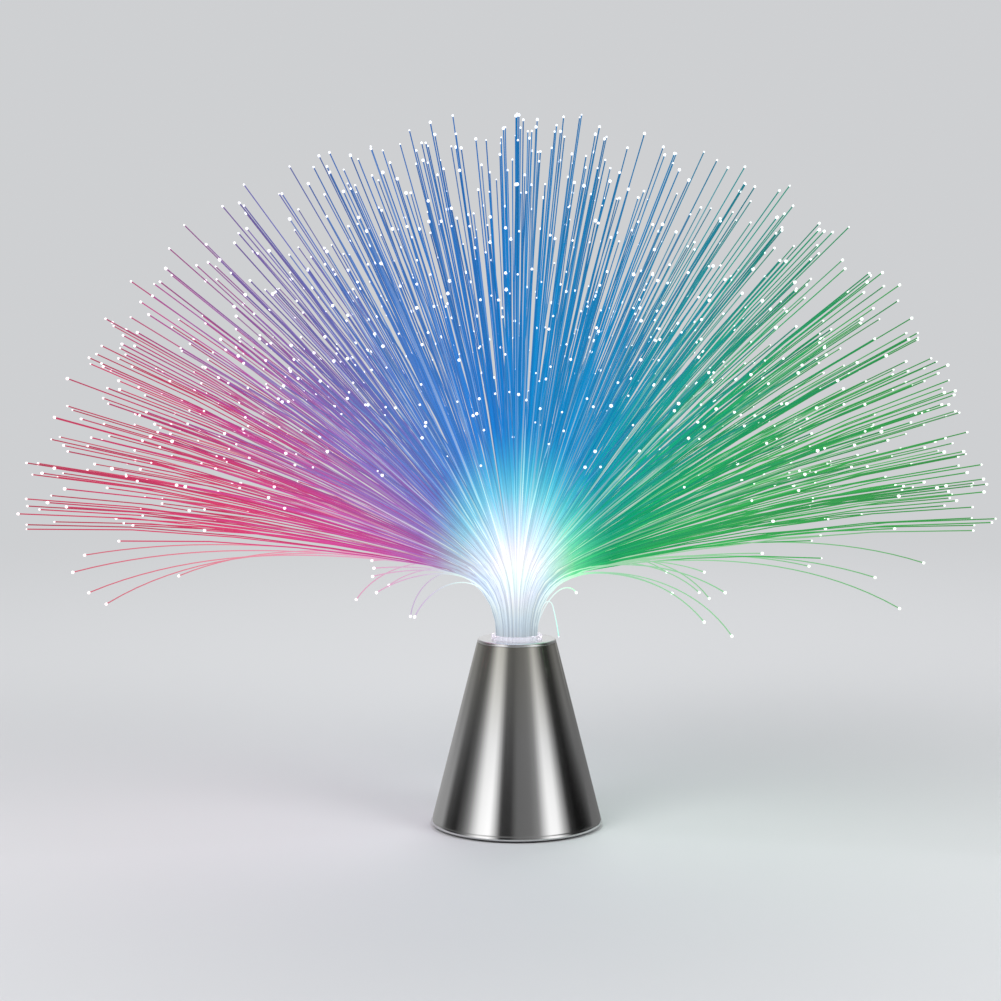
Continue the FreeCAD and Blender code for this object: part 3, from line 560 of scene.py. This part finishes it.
@dataclass(frozen=True)
class FloorFinish(Finish):
    """A matt floor that fades into the background."""

    colour: Triple
    background: Triple
    fade: tuple[float, float] = (0.35, 1.6)

    def feeds(self, graph: Graph) -> Feeds:
        """A plain matt colour."""
        return {"Base Color": self.colour, "Roughness": 0.7, "Specular IOR Level": 0.2}

    def surface(self, graph: Graph, shader: Socket) -> Socket:
        """The floor near the lamp and the background's colour far from it."""
        far = graph.out("Emission", {"Color": self.background, "Strength": 1.0})
        share = graph.share(graph.length(graph.place((1, 1, 0))), *self.fade,
                            interpolation_type="SMOOTHSTEP")
        return graph.out("MixShader", {0: share, 1: shader, 2: far})


# The sleeve's colour is painted darker and warmer from 45 mm up to the neck: painted shade with a warm
# cast, not a change in the steel.
STEEL = MetalFinish("Satin steel", (0.62, 0.62, 0.62), 0.13, lines=0.04, marks=0.05, relief=0.05,
                    painted_shade_colour=(0.56, 0.55, 0.50), painted_shade_from=45 * MM, painted_shade_to=88 * MM)
TRIM = MetalFinish("Polished trim", (0.78, 0.78, 0.78), 0.24, lines=0.05)
ZINC = MetalFinish("Zinc plate", (0.56, 0.57, 0.58), 0.32, lines=0.08)
NICKEL = MetalFinish("Nickel plate", (0.70, 0.68, 0.64), 0.28, lines=0.06)
BLACK = PlasticFinish("Black plastic", (0.018, 0.018, 0.02), 0.5)
KNOB = PlasticFinish("Switch knob", (0.03, 0.03, 0.033), 0.36, grain=5000)
RUBBER = PlasticFinish("Foot rubber", (0.022, 0.022, 0.022), 0.78, grain=1800, relief=0.35)
# The ferrule's faint lavender emission is painted light: the glow of the lit fibres inside it, not light
# of its own.
CLEAR = ClearFinish("Clear ferrule", (0.99, 0.97, 1.0), (0.8, 0.74, 0.86), 0.15, 0.85)
FIBRE, TIP = FibreFinish("Lit fibre"), TipFinish("Fibre tip")
LEDS = {
    "red": ClearFinish("Red LED", (1.0, 0.35, 0.38), (1.0, 0.03, 0.06), 1.4, 0.6),
    "blue": ClearFinish("Blue LED", (0.4, 0.55, 1.0), (0.04, 0.16, 1.0), 1.4, 0.6),
    "green": ClearFinish("Green LED", (0.4, 1.0, 0.5), (0.03, 0.9, 0.08), 1.4, 0.6),
}
WIRES = {"lead_red": (0.55, 0.02, 0.02), "lead_black": (0.02, 0.02, 0.02),
         "lead_switch": (0.72, 0.72, 0.70)}
KEPT_SHAPES: dict[str, Finish] = {
    "fibre_butt": ButtFinish("Fibre ends"), "led_board": BoardFinish("Board"),
    **{node: PlasticFinish(f"Component {node}", (0.02, 0.02, 0.02), 0.42, grain=6000)
       for node in ("driver_chip", "resistors")},
    **{node: NICKEL for node in ("contact_positive", "contact_negative", "contact_bridge_left",
                                 "contact_bridge_right", "switch_can")},
    "switch_wafer": PlasticFinish("Wafer board", (0.16, 0.075, 0.03), 0.5, grain=2200),
    "switch_pins": MetalFinish("Tinned brass", (0.76, 0.66, 0.42), 0.3),
    **{node: PlasticFinish(f"Wire {node}", colour, 0.38, grain=4000, relief=0.05)
       for node, colour in WIRES.items()},
    "chassis_core": BLACK,
}


def finish_piece(name: str, bm: Mesh, finishes: Sequence[Finish], replaces: Sequence[str],
                 crease: float = 30, body: Body = Body.BASE) -> None:
    """Makes the object for a finished mesh and says what it rides on and stands for.

    Args:
        name: the piece's name.
        bm: its mesh, in place in the row frame; it is used up.
        finishes: one for each material index in the mesh.
        replaces: the CAD nodes that it stands for.
        crease: edges that turn by more than this many degrees stay sharp in shading.
        body: what it rides on.
    """
    limit = math.radians(crease)
    for face in bm.faces:
        face.smooth = True
    for edge in bm.edges:
        edge.smooth = not (edge.is_manifold and edge.calc_face_angle() > limit)
    piece = placed_mesh(name, bm)
    for finish in finishes:
        piece.data.materials.append(finish.material())
    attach(piece, body.value)
    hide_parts(*replaces)
    LOG.info("%s: %d faces on %s", name, len(piece.data.polygons), body.value)


def dress_node(node: str, finish: Finish) -> None:
    """Gives a CAD node that keeps its shape its finish."""
    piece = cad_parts[node]
    piece.data.materials.clear()
    piece.data.materials.append(finish.material())
    LOG.info("%s: dressed as %s", node, finish.name)


# ---- the cone
@dataclass
class SteelCone:
    """The satin steel sleeve with its rolled lower edge, and the ring that trims its top."""

    base_radius: float = 40.8 * MM
    neck_radius: float = 18.85 * MM
    bottom: float = 0.9 * MM
    height: float = 86.9 * MM
    wall: float = 0.6 * MM
    hem: float = 2.0 * MM
    hem_lip: float = 0.3 * MM
    collar_height: float = 1.6 * MM
    collar_hole: float = 11.45 * MM
    spigot: float = 3.0 * MM
    spigot_gap: float = 0.2 * MM
    steps: int = 144

    def radius_at(self, height: float) -> float:
        """Outside radius of the cone at a height."""
        share = (height - self.bottom) / self.height
        return self.base_radius + (self.neck_radius - self.base_radius) * share

    @property
    def top(self) -> float:
        """Height of the sleeve's upper edge."""
        return self.bottom + self.height

    def sleeve_mesh(self) -> Mesh:
        """The cone's wall with a round rolled hem; a narrow band above the hem keeps its shading even."""
        roll = self.hem / 2
        centre, hem_top = self.base_radius - roll, self.bottom + self.hem
        band = [(self.radius_at(height), height)
                for height in (self.bottom + 2.6 * roll, self.bottom + 2.2 * roll)]
        arc = [(centre + spot.x, self.bottom + roll + spot.y)
               for spot in (polar(roll, degrees) for degrees in range(0, -181, -20))]
        inside = centre - roll
        return lathe([*band, *arc, (inside, hem_top - self.hem_lip), (inside + self.hem_lip, hem_top),
                      (self.radius_at(hem_top) - self.wall, hem_top),
                      (self.neck_radius - self.wall, self.top), (self.neck_radius, self.top)], self.steps)

    def collar_mesh(self) -> Mesh:
        """The trim ring, its outer and inner lips rounded."""
        plug = self.neck_radius - self.wall - self.spigot_gap
        low, middle, high = self.top - self.spigot, self.top, self.top + self.collar_height
        bm = lathe([(self.collar_hole, low), (plug, low), (plug, middle), (self.neck_radius, middle),
                    (self.radius_at(high), high), (self.collar_hole, high)], self.steps)
        soften(bm, 0.6 * MM, 4)
        return bm

    def build(self) -> None:
        """Makes both pieces."""
        finish_piece("steel_sleeve", self.sleeve_mesh(), [STEEL], ["outer_sleeve"], 40)
        finish_piece("neck_collar", self.collar_mesh(), [TRIM], ["top_collar"], 40)


# ---- the fibre bundle
@dataclass(frozen=True)
class Fibre:
    """One light guide: it leaves the butt upright, bends outwards and droops by its own weight.

    Its start is a radius; turn, tilt, lean, sag and curl are in degrees.
    """

    start: float
    turn: float
    length: float
    tilt: float
    lean: float
    sag: float
    bend: float = 30 * MM
    sharpness: float = 2.2
    straight: float = 3 * MM
    lean_length: float = 6 * MM
    curl: float = 0.0
    tip_radius: float = 0.62 * MM
    level: float = 1.0
    paleness: float = 0.0

    def heading(self, distance: float) -> Vector:
        """Unit vector along the fibre at a distance from its start."""
        rise = max(distance - self.straight, 0.0)
        lean = self.lean * (1 - math.exp(-rise / self.lean_length))
        bent = 1 - math.exp(-((rise / self.bend) ** self.sharpness))
        far = (distance / self.length) ** 2
        tilt = math.radians(lean + (self.tilt - self.lean) * bent + self.sag * far)
        return polar(math.sin(tilt), self.turn + self.curl * far, math.cos(tilt))

    def frames(self, distances: Sequence[float], foot: float, steps_between: int = 4) -> list[Matrix]:
        """Where the fibre is and which way it points.

        Args:
            distances: places along it, from low to high.
            foot: height of the butt that it leaves.
            steps_between: how finely its run is added up.

        Returns:
            A matrix for each distance, its Z axis along the fibre.
        """
        place, across = polar(self.start, self.turn, foot), polar(1, self.turn + 90)
        found, here = [], 0.0
        for distance in distances:
            step = (distance - here) / steps_between
            for number in range(steps_between):
                place = place + self.heading(here + (number + 0.5) * step) * step
            here = distance
            ahead = self.heading(distance)
            side = across.cross(ahead).normalized()
            matrix = Matrix((side, ahead.cross(side), ahead)).transposed().to_4x4()
            matrix.translation = place
            found.append(matrix)
        return found


@dataclass(frozen=True)
class FibreGroup:
    """Fibres of one share of the full length, and the CAD node that they stand for."""

    piece: str
    node: str
    length: float


@dataclass
class Spray:
    """The bundle: clear ferrule, and the spray of fibres with their bright tips."""

    foot: float = 89.0 * MM
    rings: int = 20
    ring_pitch: float = 0.48 * MM
    fibre_radius: float = 0.24 * MM
    spread_radius: float = 0.29 * MM
    spread_by: float = 60 * MM
    length: float = 247 * MM
    outer_trim: float = 12 * MM
    outer_tilt: float = 80.0
    outer_lean: float = 14.0
    front_lift: float = 0.27
    sag: float = 12.0
    sides: int = 5
    tip_radii: tuple[float, float] = (0.4, 0.8)
    levels: tuple[float, float] = (0.8, 1.25)
    pale_share: float = 0.14
    palenesses: tuple[float, float] = (0.2, 0.55)
    # own differences in turn and tilt, in degrees, and in length, as a share
    uneven: tuple[tuple[float, float], ...] = ((-3, 3), (-3, 3), (-0.045, 0))
    cad_uneven: Triple = (0.03 * 720, 2, 0.02)
    curl: float = 5
    ferrule_bore: float = 10.4 * MM
    ferrule_radius: float = 11.2 * MM
    ferrule_bottom: float = 57.4 * MM
    collar_top: float = 89.4 * MM
    lip_width: float = 0.9 * MM
    lip_height: float = 2.0 * MM
    groups: tuple[FibreGroup, ...] = (
        FibreGroup("long_fibres", "fibres_long", 1.0),
        FibreGroup("middle_fibres", "fibres_medium", 0.84),
        FibreGroup("short_fibres", "fibres_short", 0.69),
    )
    # turn, share of the full length, and sag of each fibre that hangs over
    droopers: tuple[Triple, ...] = (
        (0, 0.741, 28), (354, 0.789, 40), (6, 0.623, 24), (12, 0.887, 29), (348, 0.522, 10),
        (18, 0.441, 33), (24, 0.462, 55), (342, 0.502, 68), (336, 0.368, 41), (330, 0.466, 63),
        (30, 0.526, 65), (36, 0.433, 50), (324, 0.522, 43), (180, 0.883, 20), (186, 0.870, 33),
        (174, 0.879, 42), (192, 0.891, 25), (168, 0.745, 34), (162, 0.348, 19), (198, 0.332, 15),
        (204, 0.344, 25), (156, 0.328, 50), (210, 0.352, 43), (150, 0.445, 68), (216, 0.296, 79),
        (144, 0.352, 100),
    )
    strays: tuple[Fibre, ...] = (
        Fibre(9.6 * MM, 350, 37.1 * MM, 131, 23, 43, bend=31.7 * MM, sharpness=8, tip_radius=0.8 * MM,
              level=1.3, paleness=0.4),
        Fibre(9.6 * MM, 352, 38.7 * MM, 162, 18.5, 11, bend=17.8 * MM, sharpness=11, tip_radius=0.35 * MM,
              level=1.3, paleness=0.4),
    )
    stations: tuple[float, ...] = (0, 0.035, 0.07, 0.105, 0.14, 0.19, 0.28, 0.42, 0.6, 0.8)
    drooping_stations: int = 26

    def ferrule_mesh(self) -> Mesh:
        """The clear sleeve with its lip."""
        bore, outside, step = self.ferrule_bore, self.ferrule_radius, self.collar_top
        lip, top = outside + self.lip_width, step + self.lip_height
        bm = lathe([(bore, self.ferrule_bottom), (outside, self.ferrule_bottom), (outside, step),
                    (lip, step), (lip, top), (bore, top)], 96)
        soften(bm, 0.25 * MM, 3)
        return bm

    def fibre_mesh(self, fibres: Iterable[Fibre], stations: Sequence[float]) -> Mesh:
        """Bends a copy of a straight fibre, whose rings lie at whole-number heights, along each run.

        Args:
            fibres: the runs.
            stations: shares of the run at which it may bend; the tip's bead lies beyond them.

        Returns:
            One mesh with the guide attribute that the finishes read.
        """
        rings = len(stations) + 3
        profile = [(0, 0), *((1, number) for number in range(rings)), (0, rings)]
        bm = lathe(profile, self.sides, closed=False, merged=1e-4)
        for face in bm.faces:
            face.material_index = int(face.calc_center_median().z > len(stations))
        guide = bm.verts.layers.float_vector.new("guide")
        pattern = [*bm.verts, *bm.edges, *bm.faces]
        spread = self.spread_radius - self.fibre_radius
        for fibre in fibres:
            bead = fibre.tip_radius
            waist = math.asin(self.spread_radius / bead) - math.pi / 2
            angles = [waist, math.radians(-15), math.radians(42)]
            run = [share * (fibre.length - 2 * bead) for share in stations]
            marks = run + [fibre.length - bead * (1 - math.sin(angle)) for angle in angles]
            marks.append(fibre.length)
            widths = [self.fibre_radius + spread * min(mark / self.spread_by, 1) for mark in run]
            widths += [bead * math.cos(angle) for angle in angles] + [0.0]
            frames = fibre.frames(marks, self.foot)
            for vert in stamped(bm, pattern):
                station = round(vert.co.z)
                width = widths[station]
                vert.co = frames[station] @ Vector((vert.co.x * width, vert.co.y * width, 0))
                vert[guide] = (fibre.paleness, marks[station] / self.length, fibre.level)
        bmesh.ops.delete(bm, geom=pattern, context="VERTS")
        return bm

    def side_bend(self, turn: float) -> float:
        """How far the fibres on this side bend, as a share: least towards the front and the back."""
        return 1 - self.front_lift * math.sin(math.radians(turn)) ** 2

    def fibre(self, share: float, place: float, group: FibreGroup, uneven: Triple,
              **look: float) -> Fibre:
        """One fibre by its share of the way out, its turn, its group and how uneven it is."""
        turn = place + uneven[0]
        bend = self.side_bend(turn)
        tilt = (self.outer_tilt * share + uneven[1]) * bend
        trim = self.outer_trim * share ** 3 * (1 + math.cos(math.radians(turn))) / 2
        length = (self.length - trim) * group.length * (1 + uneven[2])
        return Fibre(share * self.rings * self.ring_pitch, turn, length, tilt,
                     self.outer_lean * share * bend, self.sag * math.sin(math.radians(tilt)), **look)

    def plan(self) -> dict[str, list[Fibre]]:
        """Every fibre of the round spray by piece: each fourth is a CAD bar's, the others lie between."""
        def wobble(seed: int) -> float:
            """A fixed number from -1 to 1, as the CAD draws it."""
            return math.sin(seed * seed + seed)

        draw, pale_draw = random.Random(11), random.Random(5)
        runs: dict[str, list[Fibre]] = {group.piece: [] for group in self.groups}
        taken = {drooper[0] % 360 for drooper in self.droopers}
        for ring in range(self.rings + 1):
            count = max(1, 6 * ring)
            for number in range(count):
                place = 360 * number / count
                if ring == self.rings and round(place) in taken:
                    continue
                look = {"tip_radius": draw.uniform(*self.tip_radii) * MM,
                        "level": draw.uniform(*self.levels)}
                if pale_draw.random() < self.pale_share:
                    look["paleness"] = pale_draw.uniform(*self.palenesses)
                if ring % 2 or number % 2:
                    group = draw.choice(self.groups + self.groups[:1] * 2)
                    uneven = tuple(draw.uniform(*limits) for limits in self.uneven)
                    look["curl"] = draw.uniform(-self.curl, self.curl)
                else:
                    place_in_half = number // 2 % max(count // 4, 1)
                    seed = ring * count // 4 + place_in_half
                    group = self.groups[place_in_half % 3]
                    turned, tilted, longer = self.cad_uneven if ring else (0, 0, 0)
                    uneven = (turned * wobble(seed) / count, tilted * wobble(seed + 1),
                              longer * wobble(seed + 2))
                runs[group.piece].append(self.fibre(ring / self.rings, place, group, uneven, **look))
        return runs

    def drooping(self) -> list[Fibre]:
        """The short outer fibres that hang over at both sides, and two strays at the neck."""
        runs = []
        for turn, share, sag in self.droopers:
            bend = self.side_bend(turn)
            runs.append(Fibre(self.rings * self.ring_pitch, turn, share * self.length,
                              self.outer_tilt * bend, self.outer_lean * bend, sag,
                              tip_radius=0.8 * MM, level=1.15, paleness=0.4))
        return runs + list(self.strays)

    def build(self) -> None:
        """Makes the ferrule and each group of fibres."""
        finish_piece("clear_ferrule", self.ferrule_mesh(), [CLEAR], ["ferrule"], 40,
                     Body.BUNDLE)
        runs = self.plan()
        for group in self.groups:
            finish_piece(group.piece, self.fibre_mesh(runs[group.piece], self.stations),
                         [FIBRE, TIP], [group.node], 180, Body.BUNDLE)
        even = [number / self.drooping_stations for number in range(self.drooping_stations)]
        finish_piece("drooping_fibres", self.fibre_mesh(self.drooping(), even),
                     [FIBRE, TIP], ["fibres_drooping"], 180, Body.BUNDLE)


# ---- fixings and the underside
@dataclass(frozen=True)
class Screw:
    """A pan-head screw with a cross recess, standing on its head."""

    shank: float
    length: float
    head: float
    height: float
    steps: int = 40

    def mesh(self) -> Mesh:
        """The screw with the plane under its head at the origin."""
        shank, length, head, height = self.shank, self.length, self.head, self.height
        bm = lathe([(0, -height), (0.5 * head, -height), (0.82 * head, -0.84 * height),
                    (head, -0.4 * height), (head, 0), (shank, 0), (shank, length - shank),
                    (0.3 * shank, length), (0, length)], self.steps, closed=False)
        cross = bmesh.new()
        arm, slot, depth = 1.2 * head, 0.24 * head, 1.3 * height
        for wide, deep in ((arm, slot), (slot, arm)):
            size = Matrix.Diagonal((wide, deep, depth, 1))
            bmesh.ops.create_cube(cross, size=1, matrix=Matrix.Translation((0, 0, -height)) @ size)
        return carved(bm, cross)


@dataclass
class Underside:
    """Everything that shows below: plate, door, screws, feet and the slide switch."""

    plate_top: float = 3.3 * MM
    floor: float = 1.0 * MM
    circle: float = 33.2 * MM
    screw_turns: tuple[int, ...] = (60, 120, 240, 300)
    foot_turns: tuple[int, ...] = (42, 138, 222, 318)
    foot_radius: float = 4.0 * MM
    foot_height: float = 0.9 * MM
    door_screw_x: float = 28.3 * MM
    plate_screw: Screw = Screw(1.4 * MM, 8.0 * MM, 2.6 * MM, 1.2 * MM)
    door_screw: Screw = Screw(1.1 * MM, 4.4 * MM, 2.1 * MM, 0.9 * MM)
    edge: float = 0.25 * MM
    knob_edge: float = 0.3 * MM

    def foot_mesh(self) -> Mesh:
        """One stick-on foot with a rounded edge and a slightly hollow middle."""
        radius, height = self.foot_radius, self.foot_height
        return lathe([(0, 0.1 * MM), (0.5 * radius, 0.08 * MM), (0.72 * radius, 0),
                      (0.88 * radius, 0.03 * MM), (0.97 * radius, 0.2 * MM), (radius, 0.45 * MM),
                      (radius, height), (0, height)], 48, closed=False)

    def build(self) -> None:
        """Makes each piece."""
        for name, node, edge, body, slot, finish in (
                ("plate_moulding", "base_plate", self.edge, Body.BASE, "black_plastic", BLACK),
                ("door_moulding", "battery_door", self.edge, Body.DOOR, "black_plastic", BLACK),
                ("switch_knob", "switch_slider", self.knob_edge, Body.SLIDER, "knob_plastic", KNOB)):
            finish_piece(name, rounded_node(node, edge), [finish], [node], body=body)
        places = [polar(self.circle, turn, self.plate_top - self.floor) for turn in self.screw_turns]
        finish_piece("plate_screws", repeated(self.plate_screw.mesh(), places), [ZINC],
                     ["base_screws"])
        place = self.door_screw_x, 0, node_box("door_screw")[0].z + self.door_screw.height
        finish_piece("door_fixing", repeated(self.door_screw.mesh(), [place]), [ZINC],
                     ["door_screw"], body=Body.DOOR)
        feet = repeated(self.foot_mesh(), [polar(self.circle, turn) for turn in self.foot_turns])
        finish_piece("rubber_feet", feet, [RUBBER],
                     ["foot_1", "foot_2", "foot_3", "foot_4"], 50)


@dataclass
class Battery:
    """The three dry cells that lie side by side in the bay."""

    radius: float = 5.25 * MM
    length: float = 44.5 * MM
    nub: float = 1.9 * MM
    nub_height: float = 0.8 * MM
    jacket_from: float = 4.32 * MM

    def cell_mesh(self, node: str, nub_to_right: bool) -> Mesh:
        """One cell in its CAD node's place, its jacket with material 0 and its bare metal with 1."""
        nub, shoulder, end, full = self.nub, self.nub_height, self.length, self.radius
        bm = lathe([
            (0, 0), (0.8 * nub, 0), (nub, 0.2 * MM), (nub, shoulder), (3.4 * MM, shoulder),
            (3.7 * MM, 1.1 * MM), (4.2 * MM, 1.1 * MM), (4.35 * MM, shoulder),
            (4.95 * MM, shoulder), (full, 1.15 * MM),
            (full, end - 0.5 * MM), (4.95 * MM, end - 0.15 * MM), (4.3 * MM, end - 0.15 * MM),
            (4.1 * MM, end - 0.4 * MM), (3.3 * MM, end - 0.4 * MM), (3.0 * MM, end), (0, end),
        ], 64, closed=False)
        along = bm.verts.layers.float.new("along")
        for vert in bm.verts:
            vert[along] = vert.co.z / end
        for face in bm.faces:
            inner = min(vert.co.xy.length for vert in face.verts)
            face.material_index = 0 if inner > self.jacket_from else 1
        low, high = node_box(node)
        middle = (low + high) / 2
        middle.x = high.x if nub_to_right else low.x
        turn = Matrix.Rotation(math.radians(-90 if nub_to_right else 90), 4, "Y")
        bmesh.ops.transform(bm, matrix=Matrix.Translation(middle) @ turn, verts=bm.verts)
        return bm

    def build(self) -> None:
        """Makes the cells; neighbours point opposite ways."""
        jacket = JacketFinish("Cell jacket")
        for number in (1, 2, 3):
            node = f"aaa_cell_{number}"
            finish_piece(f"dry_cell_{number}", self.cell_mesh(node, number % 2 == 1),
                         [jacket, NICKEL], [node], 50)


@dataclass
class LightEngine:
    """The LEDs and the screws of their board."""

    radius: float = 2.5 * MM
    flange: float = 2.9 * MM
    flange_height: float = 1.0 * MM
    board_screw: Screw = Screw(1.0 * MM, 6.0 * MM, 1.9 * MM, 1.3 * MM)

    def led_mesh(self, node: str) -> Mesh:
        """One LED with its flange and a rounded top edge."""
        low, high = node_box(node)
        radius, tall = self.radius, high.z - low.z
        bm = lathe([(0, 0), (self.flange, 0), (self.flange, self.flange_height),
                    (radius, self.flange_height), (radius, tall - 0.9 * MM),
                    (0.93 * radius, tall - 0.4 * MM), (0.75 * radius, tall - 0.1 * MM),
                    (0.5 * radius, tall), (0, tall)], 48, closed=False)
        return repeated(bm, [((low.x + high.x) / 2, (low.y + high.y) / 2, low.z)])

    def build(self) -> None:
        """Makes each LED and the board's screws."""
        for colour, finish in LEDS.items():
            node = f"led_{colour}"
            finish_piece(f"{colour}_diode", self.led_mesh(node), [finish], [node], 50)
        low, high = node_box("board_screws")
        side, seat = high.x - self.board_screw.head, low.z + self.board_screw.height
        screws = repeated(self.board_screw.mesh(), [(-side, 0, seat), (side, 0, seat)])
        finish_piece("board_fixings", screws, [ZINC], ["board_screws"])


# ---- the studio
@dataclass(frozen=True)
class Lamp:
    """A soft rectangular studio lamp that reflections don't see."""

    name: str
    place: Triple
    size: tuple[float, float]
    power: float

    def build(self, target: Vector) -> None:
        """Makes the lamp and aims it."""
        data = bpy.data.lights.new(self.name, "AREA")
        data.shape = "RECTANGLE"
        data.size, data.size_y = self.size
        data.energy = self.power
        lamp = placed(self.name, data)
        lamp.location = self.place
        lamp.rotation_euler = (target - lamp.location).to_track_quat("-Z", "Y").to_euler()
        lamp.visible_glossy = False


@dataclass
class Studio:
    """Pale floor and background, soft lamps, a wall of strip lights and flags, and the camera."""

    pale: Triple = (0.62, 0.63, 0.645)
    soft: Triple = (0.95, 0.97, 1.0)
    soft_strength: float = 0.45
    floor_colour: Triple = (0.70, 0.705, 0.715)
    floor_radius: float = 9.0
    camera_place: Triple = (0.0, -1.0204, 0.2408)
    camera_pitch: float = 4.806
    camera_yaw: float = 0.433
    lens: float = 78.0
    target: Triple = (0, 0, 0.15)
    lamps: tuple[Lamp, ...] = (
        Lamp("key_lamp", (-1.1, -1.3, 1.5), (1.1, 1.1), 22),
        Lamp("fill_lamp", (1.3, -1.0, 1.1), (0.9, 0.9), 13),
        Lamp("back_lamp", (0.2, 1.5, 1.4), (1.4, 0.8), 14),
    )
    wall_radius: float = 1.9
    wall_height: float = 3.0
    wall_brightest: float = 2.0
    overhead: Triple = (0.56, 0.54, 0.60)
    overhead_from: tuple[float, float] = (1.1, 1.5)
    foot_reflected: float = 0.54
    reflected_reach: float = 0.21
    reflected_bend: float = 4.9
    # angle from the front, and how bright the wall is where the cone's foot and its neck reflect it
    panels: tuple[Triple, ...] = (
        (-180, 0.8, 0.8), (-160, 0.5, 0.7), (-145, 0.45, 0.33), (-124, 0.52, 0.31), (-111, 0.06, 0.21),
        (-92, 0.01, 0.14), (-80, 0.13, 0.15), (-70, 0.36, 0.34), (-53, 1.5, 0.85), (-38, 1.75, 0.66),
        (-23, 0.03, 0.22), (-9, 0.03, 0.17), (0, 0.19, 0.20), (20, 0.21, 0.26), (31, 0.33, 0.34),
        (46, 1.60, 0.66), (58, 1.60, 0.32), (68, 0.66, 0.10), (78, 0.04, 0.05), (92, 0.0, 0.04),
        (106, 0.0, 0.15), (122, 0.05, 0.26), (140, 0.22, 0.18), (160, 0.3, 0.6), (180, 0.8, 0.8),
    )
    # name, first and last angle, and strength of each card that lies behind the lamp
    floor_cards: tuple[tuple[str, float, float, float], ...] = (
        ("left_floor_card", -180, -75, 0.42), ("right_floor_card", 75, 180, 0.2))
    card_line: Profile = ((0.042, 0.002), (1.9, 0.002))

    def floor(self) -> None:
        """A wide pale disc that fades into the background."""
        bm = bmesh.new()
        bmesh.ops.create_circle(bm, cap_ends=True, segments=96, radius=self.floor_radius)
        floor = placed_mesh("floor", bm)
        floor.data.materials.append(FloorFinish("Pale floor", self.floor_colour, self.pale).material())

    def world(self) -> None:
        """Soft light from all round, with the pale background where a ray sees it."""
        world = bpy.data.worlds.new("studio")
        world.use_nodes = True
        bpy.context.scene.world = world
        graph = Graph(world.node_tree)
        soft = graph.out("Background", {"Color": self.soft, "Strength": self.soft_strength})
        seen = graph.out("Background", {"Color": self.pale, "Strength": 1.0})
        rays = graph.add("LightPath", {}).outputs
        through = graph.maths("MAXIMUM", rays["Is Glossy Ray"], rays["Is Transmission Ray"])
        seen_by = graph.maths("MAXIMUM", rays["Is Camera Ray"], through)
        graph.add("OutputWorld", {"Surface": graph.out("MixShader", {0: seen_by, 1: soft, 2: seen})})

    def reflected_only(self, name: str, line: Profile, first: float, last: float,
                       light: Callable[[Graph], Socket] | Triple, strength: float) -> None:
        """Bends a glowing sheet round the lamp that only reflections see.

        Args:
            name: the sheet's name.
            line: radius and height of the two ends of the line that is turned.
            first: angle where it starts, from the front, positive to the right.
            last: angle where it ends.
            light: its colour, or what builds it.
            strength: how brightly it glows.
        """
        bm = bmesh.new()
        ends = [bm.verts.new(polar(radius, first - 90, height)) for radius, height in line]
        bmesh.ops.spin(bm, geom=[*ends, bm.edges.new(ends)], cent=(0, 0, 0), axis=(0, 0, 1),
                       angle=math.radians(last - first), steps=round((last - first) / 4), use_merge=False)
        piece = placed_mesh(name, bm)
        for kind in ("camera", "diffuse", "transmission", "shadow", "volume_scatter"):
            setattr(piece, f"visible_{kind}", False)
        material = bpy.data.materials.new(name)
        material.use_nodes = True
        material.cycles.emission_sampling = "NONE"
        graph = Graph(material.node_tree)
        colour = light(graph) if callable(light) else light
        glow = graph.out("Emission", {"Color": colour, "Strength": strength})
        graph.add("OutputMaterial", {"Surface": glow})
        piece.data.materials.append(material)

    def wall_light(self, graph: Graph) -> Socket:
        """The wall's light: strips and flags by angle, seen by the foot or the neck, and a pale top."""
        x, y, z = graph.add("SeparateXYZ", {0: graph.place()}).outputs
        turns = graph.maths("DIVIDE", graph.maths("ARCTAN2", x, graph.maths("MULTIPLY", y, -1)), math.tau)
        bend = graph.maths("MULTIPLY", graph.maths("MULTIPLY", turns, turns), self.reflected_bend)
        neck_share = graph.share(graph.maths("ADD", z, bend), self.foot_reflected,
                                 self.foot_reflected + self.reflected_reach)
        around = graph.maths("ADD", turns, 0.5)
        foot, neck = (graph.ramp(around, [(panel[0] / 360 + 0.5, panel[seen_by] / self.wall_brightest)
                                          for panel in self.panels]) for seen_by in (1, 2))
        return graph.mix(graph.share(z, *self.overhead_from), graph.mix(neck_share, foot, neck),
                         self.overhead)

    def light_wall(self) -> None:
        """The round wall of strip lights and flags, and the two cards on the floor behind the lamp."""
        wall = (self.wall_radius, 0.0), (self.wall_radius, self.wall_height)
        self.reflected_only("light_wall", wall, -180, 180, self.wall_light, self.wall_brightest)
        for name, first, last, strength in self.floor_cards:
            self.reflected_only(name, self.card_line, first, last, (1, 1, 1), strength)

    def camera(self) -> None:
        """The camera in front, a little above the neck, looking slightly down."""
        data = bpy.data.cameras.new("camera")
        data.lens, data.sensor_width = self.lens, 36
        camera = placed("camera", data)
        camera.location = self.camera_place
        camera.rotation_euler = math.radians(90 - self.camera_pitch), 0, math.radians(self.camera_yaw)
        bpy.context.scene.camera = camera

    def build(self) -> None:
        """Sets up everything round the lamp."""
        bpy.context.scene.view_settings.view_transform = "Standard"
        self.camera()
        self.floor()
        self.world()
        for lamp in self.lamps:
            lamp.build(Vector(self.target))
        self.light_wall()


def main() -> None:
    """Builds the studio and the lamp, and gives the kept CAD nodes their finishes."""
    logging.basicConfig(level=logging.INFO, format="%(name)s: %(message)s")
    for part in (Studio(), SteelCone(), Spray(), Underside(), Battery(), LightEngine()):
        part.build()
    for node, finish in KEPT_SHAPES.items():
        dress_node(node, finish)


if __name__ == "__main__":
    main()
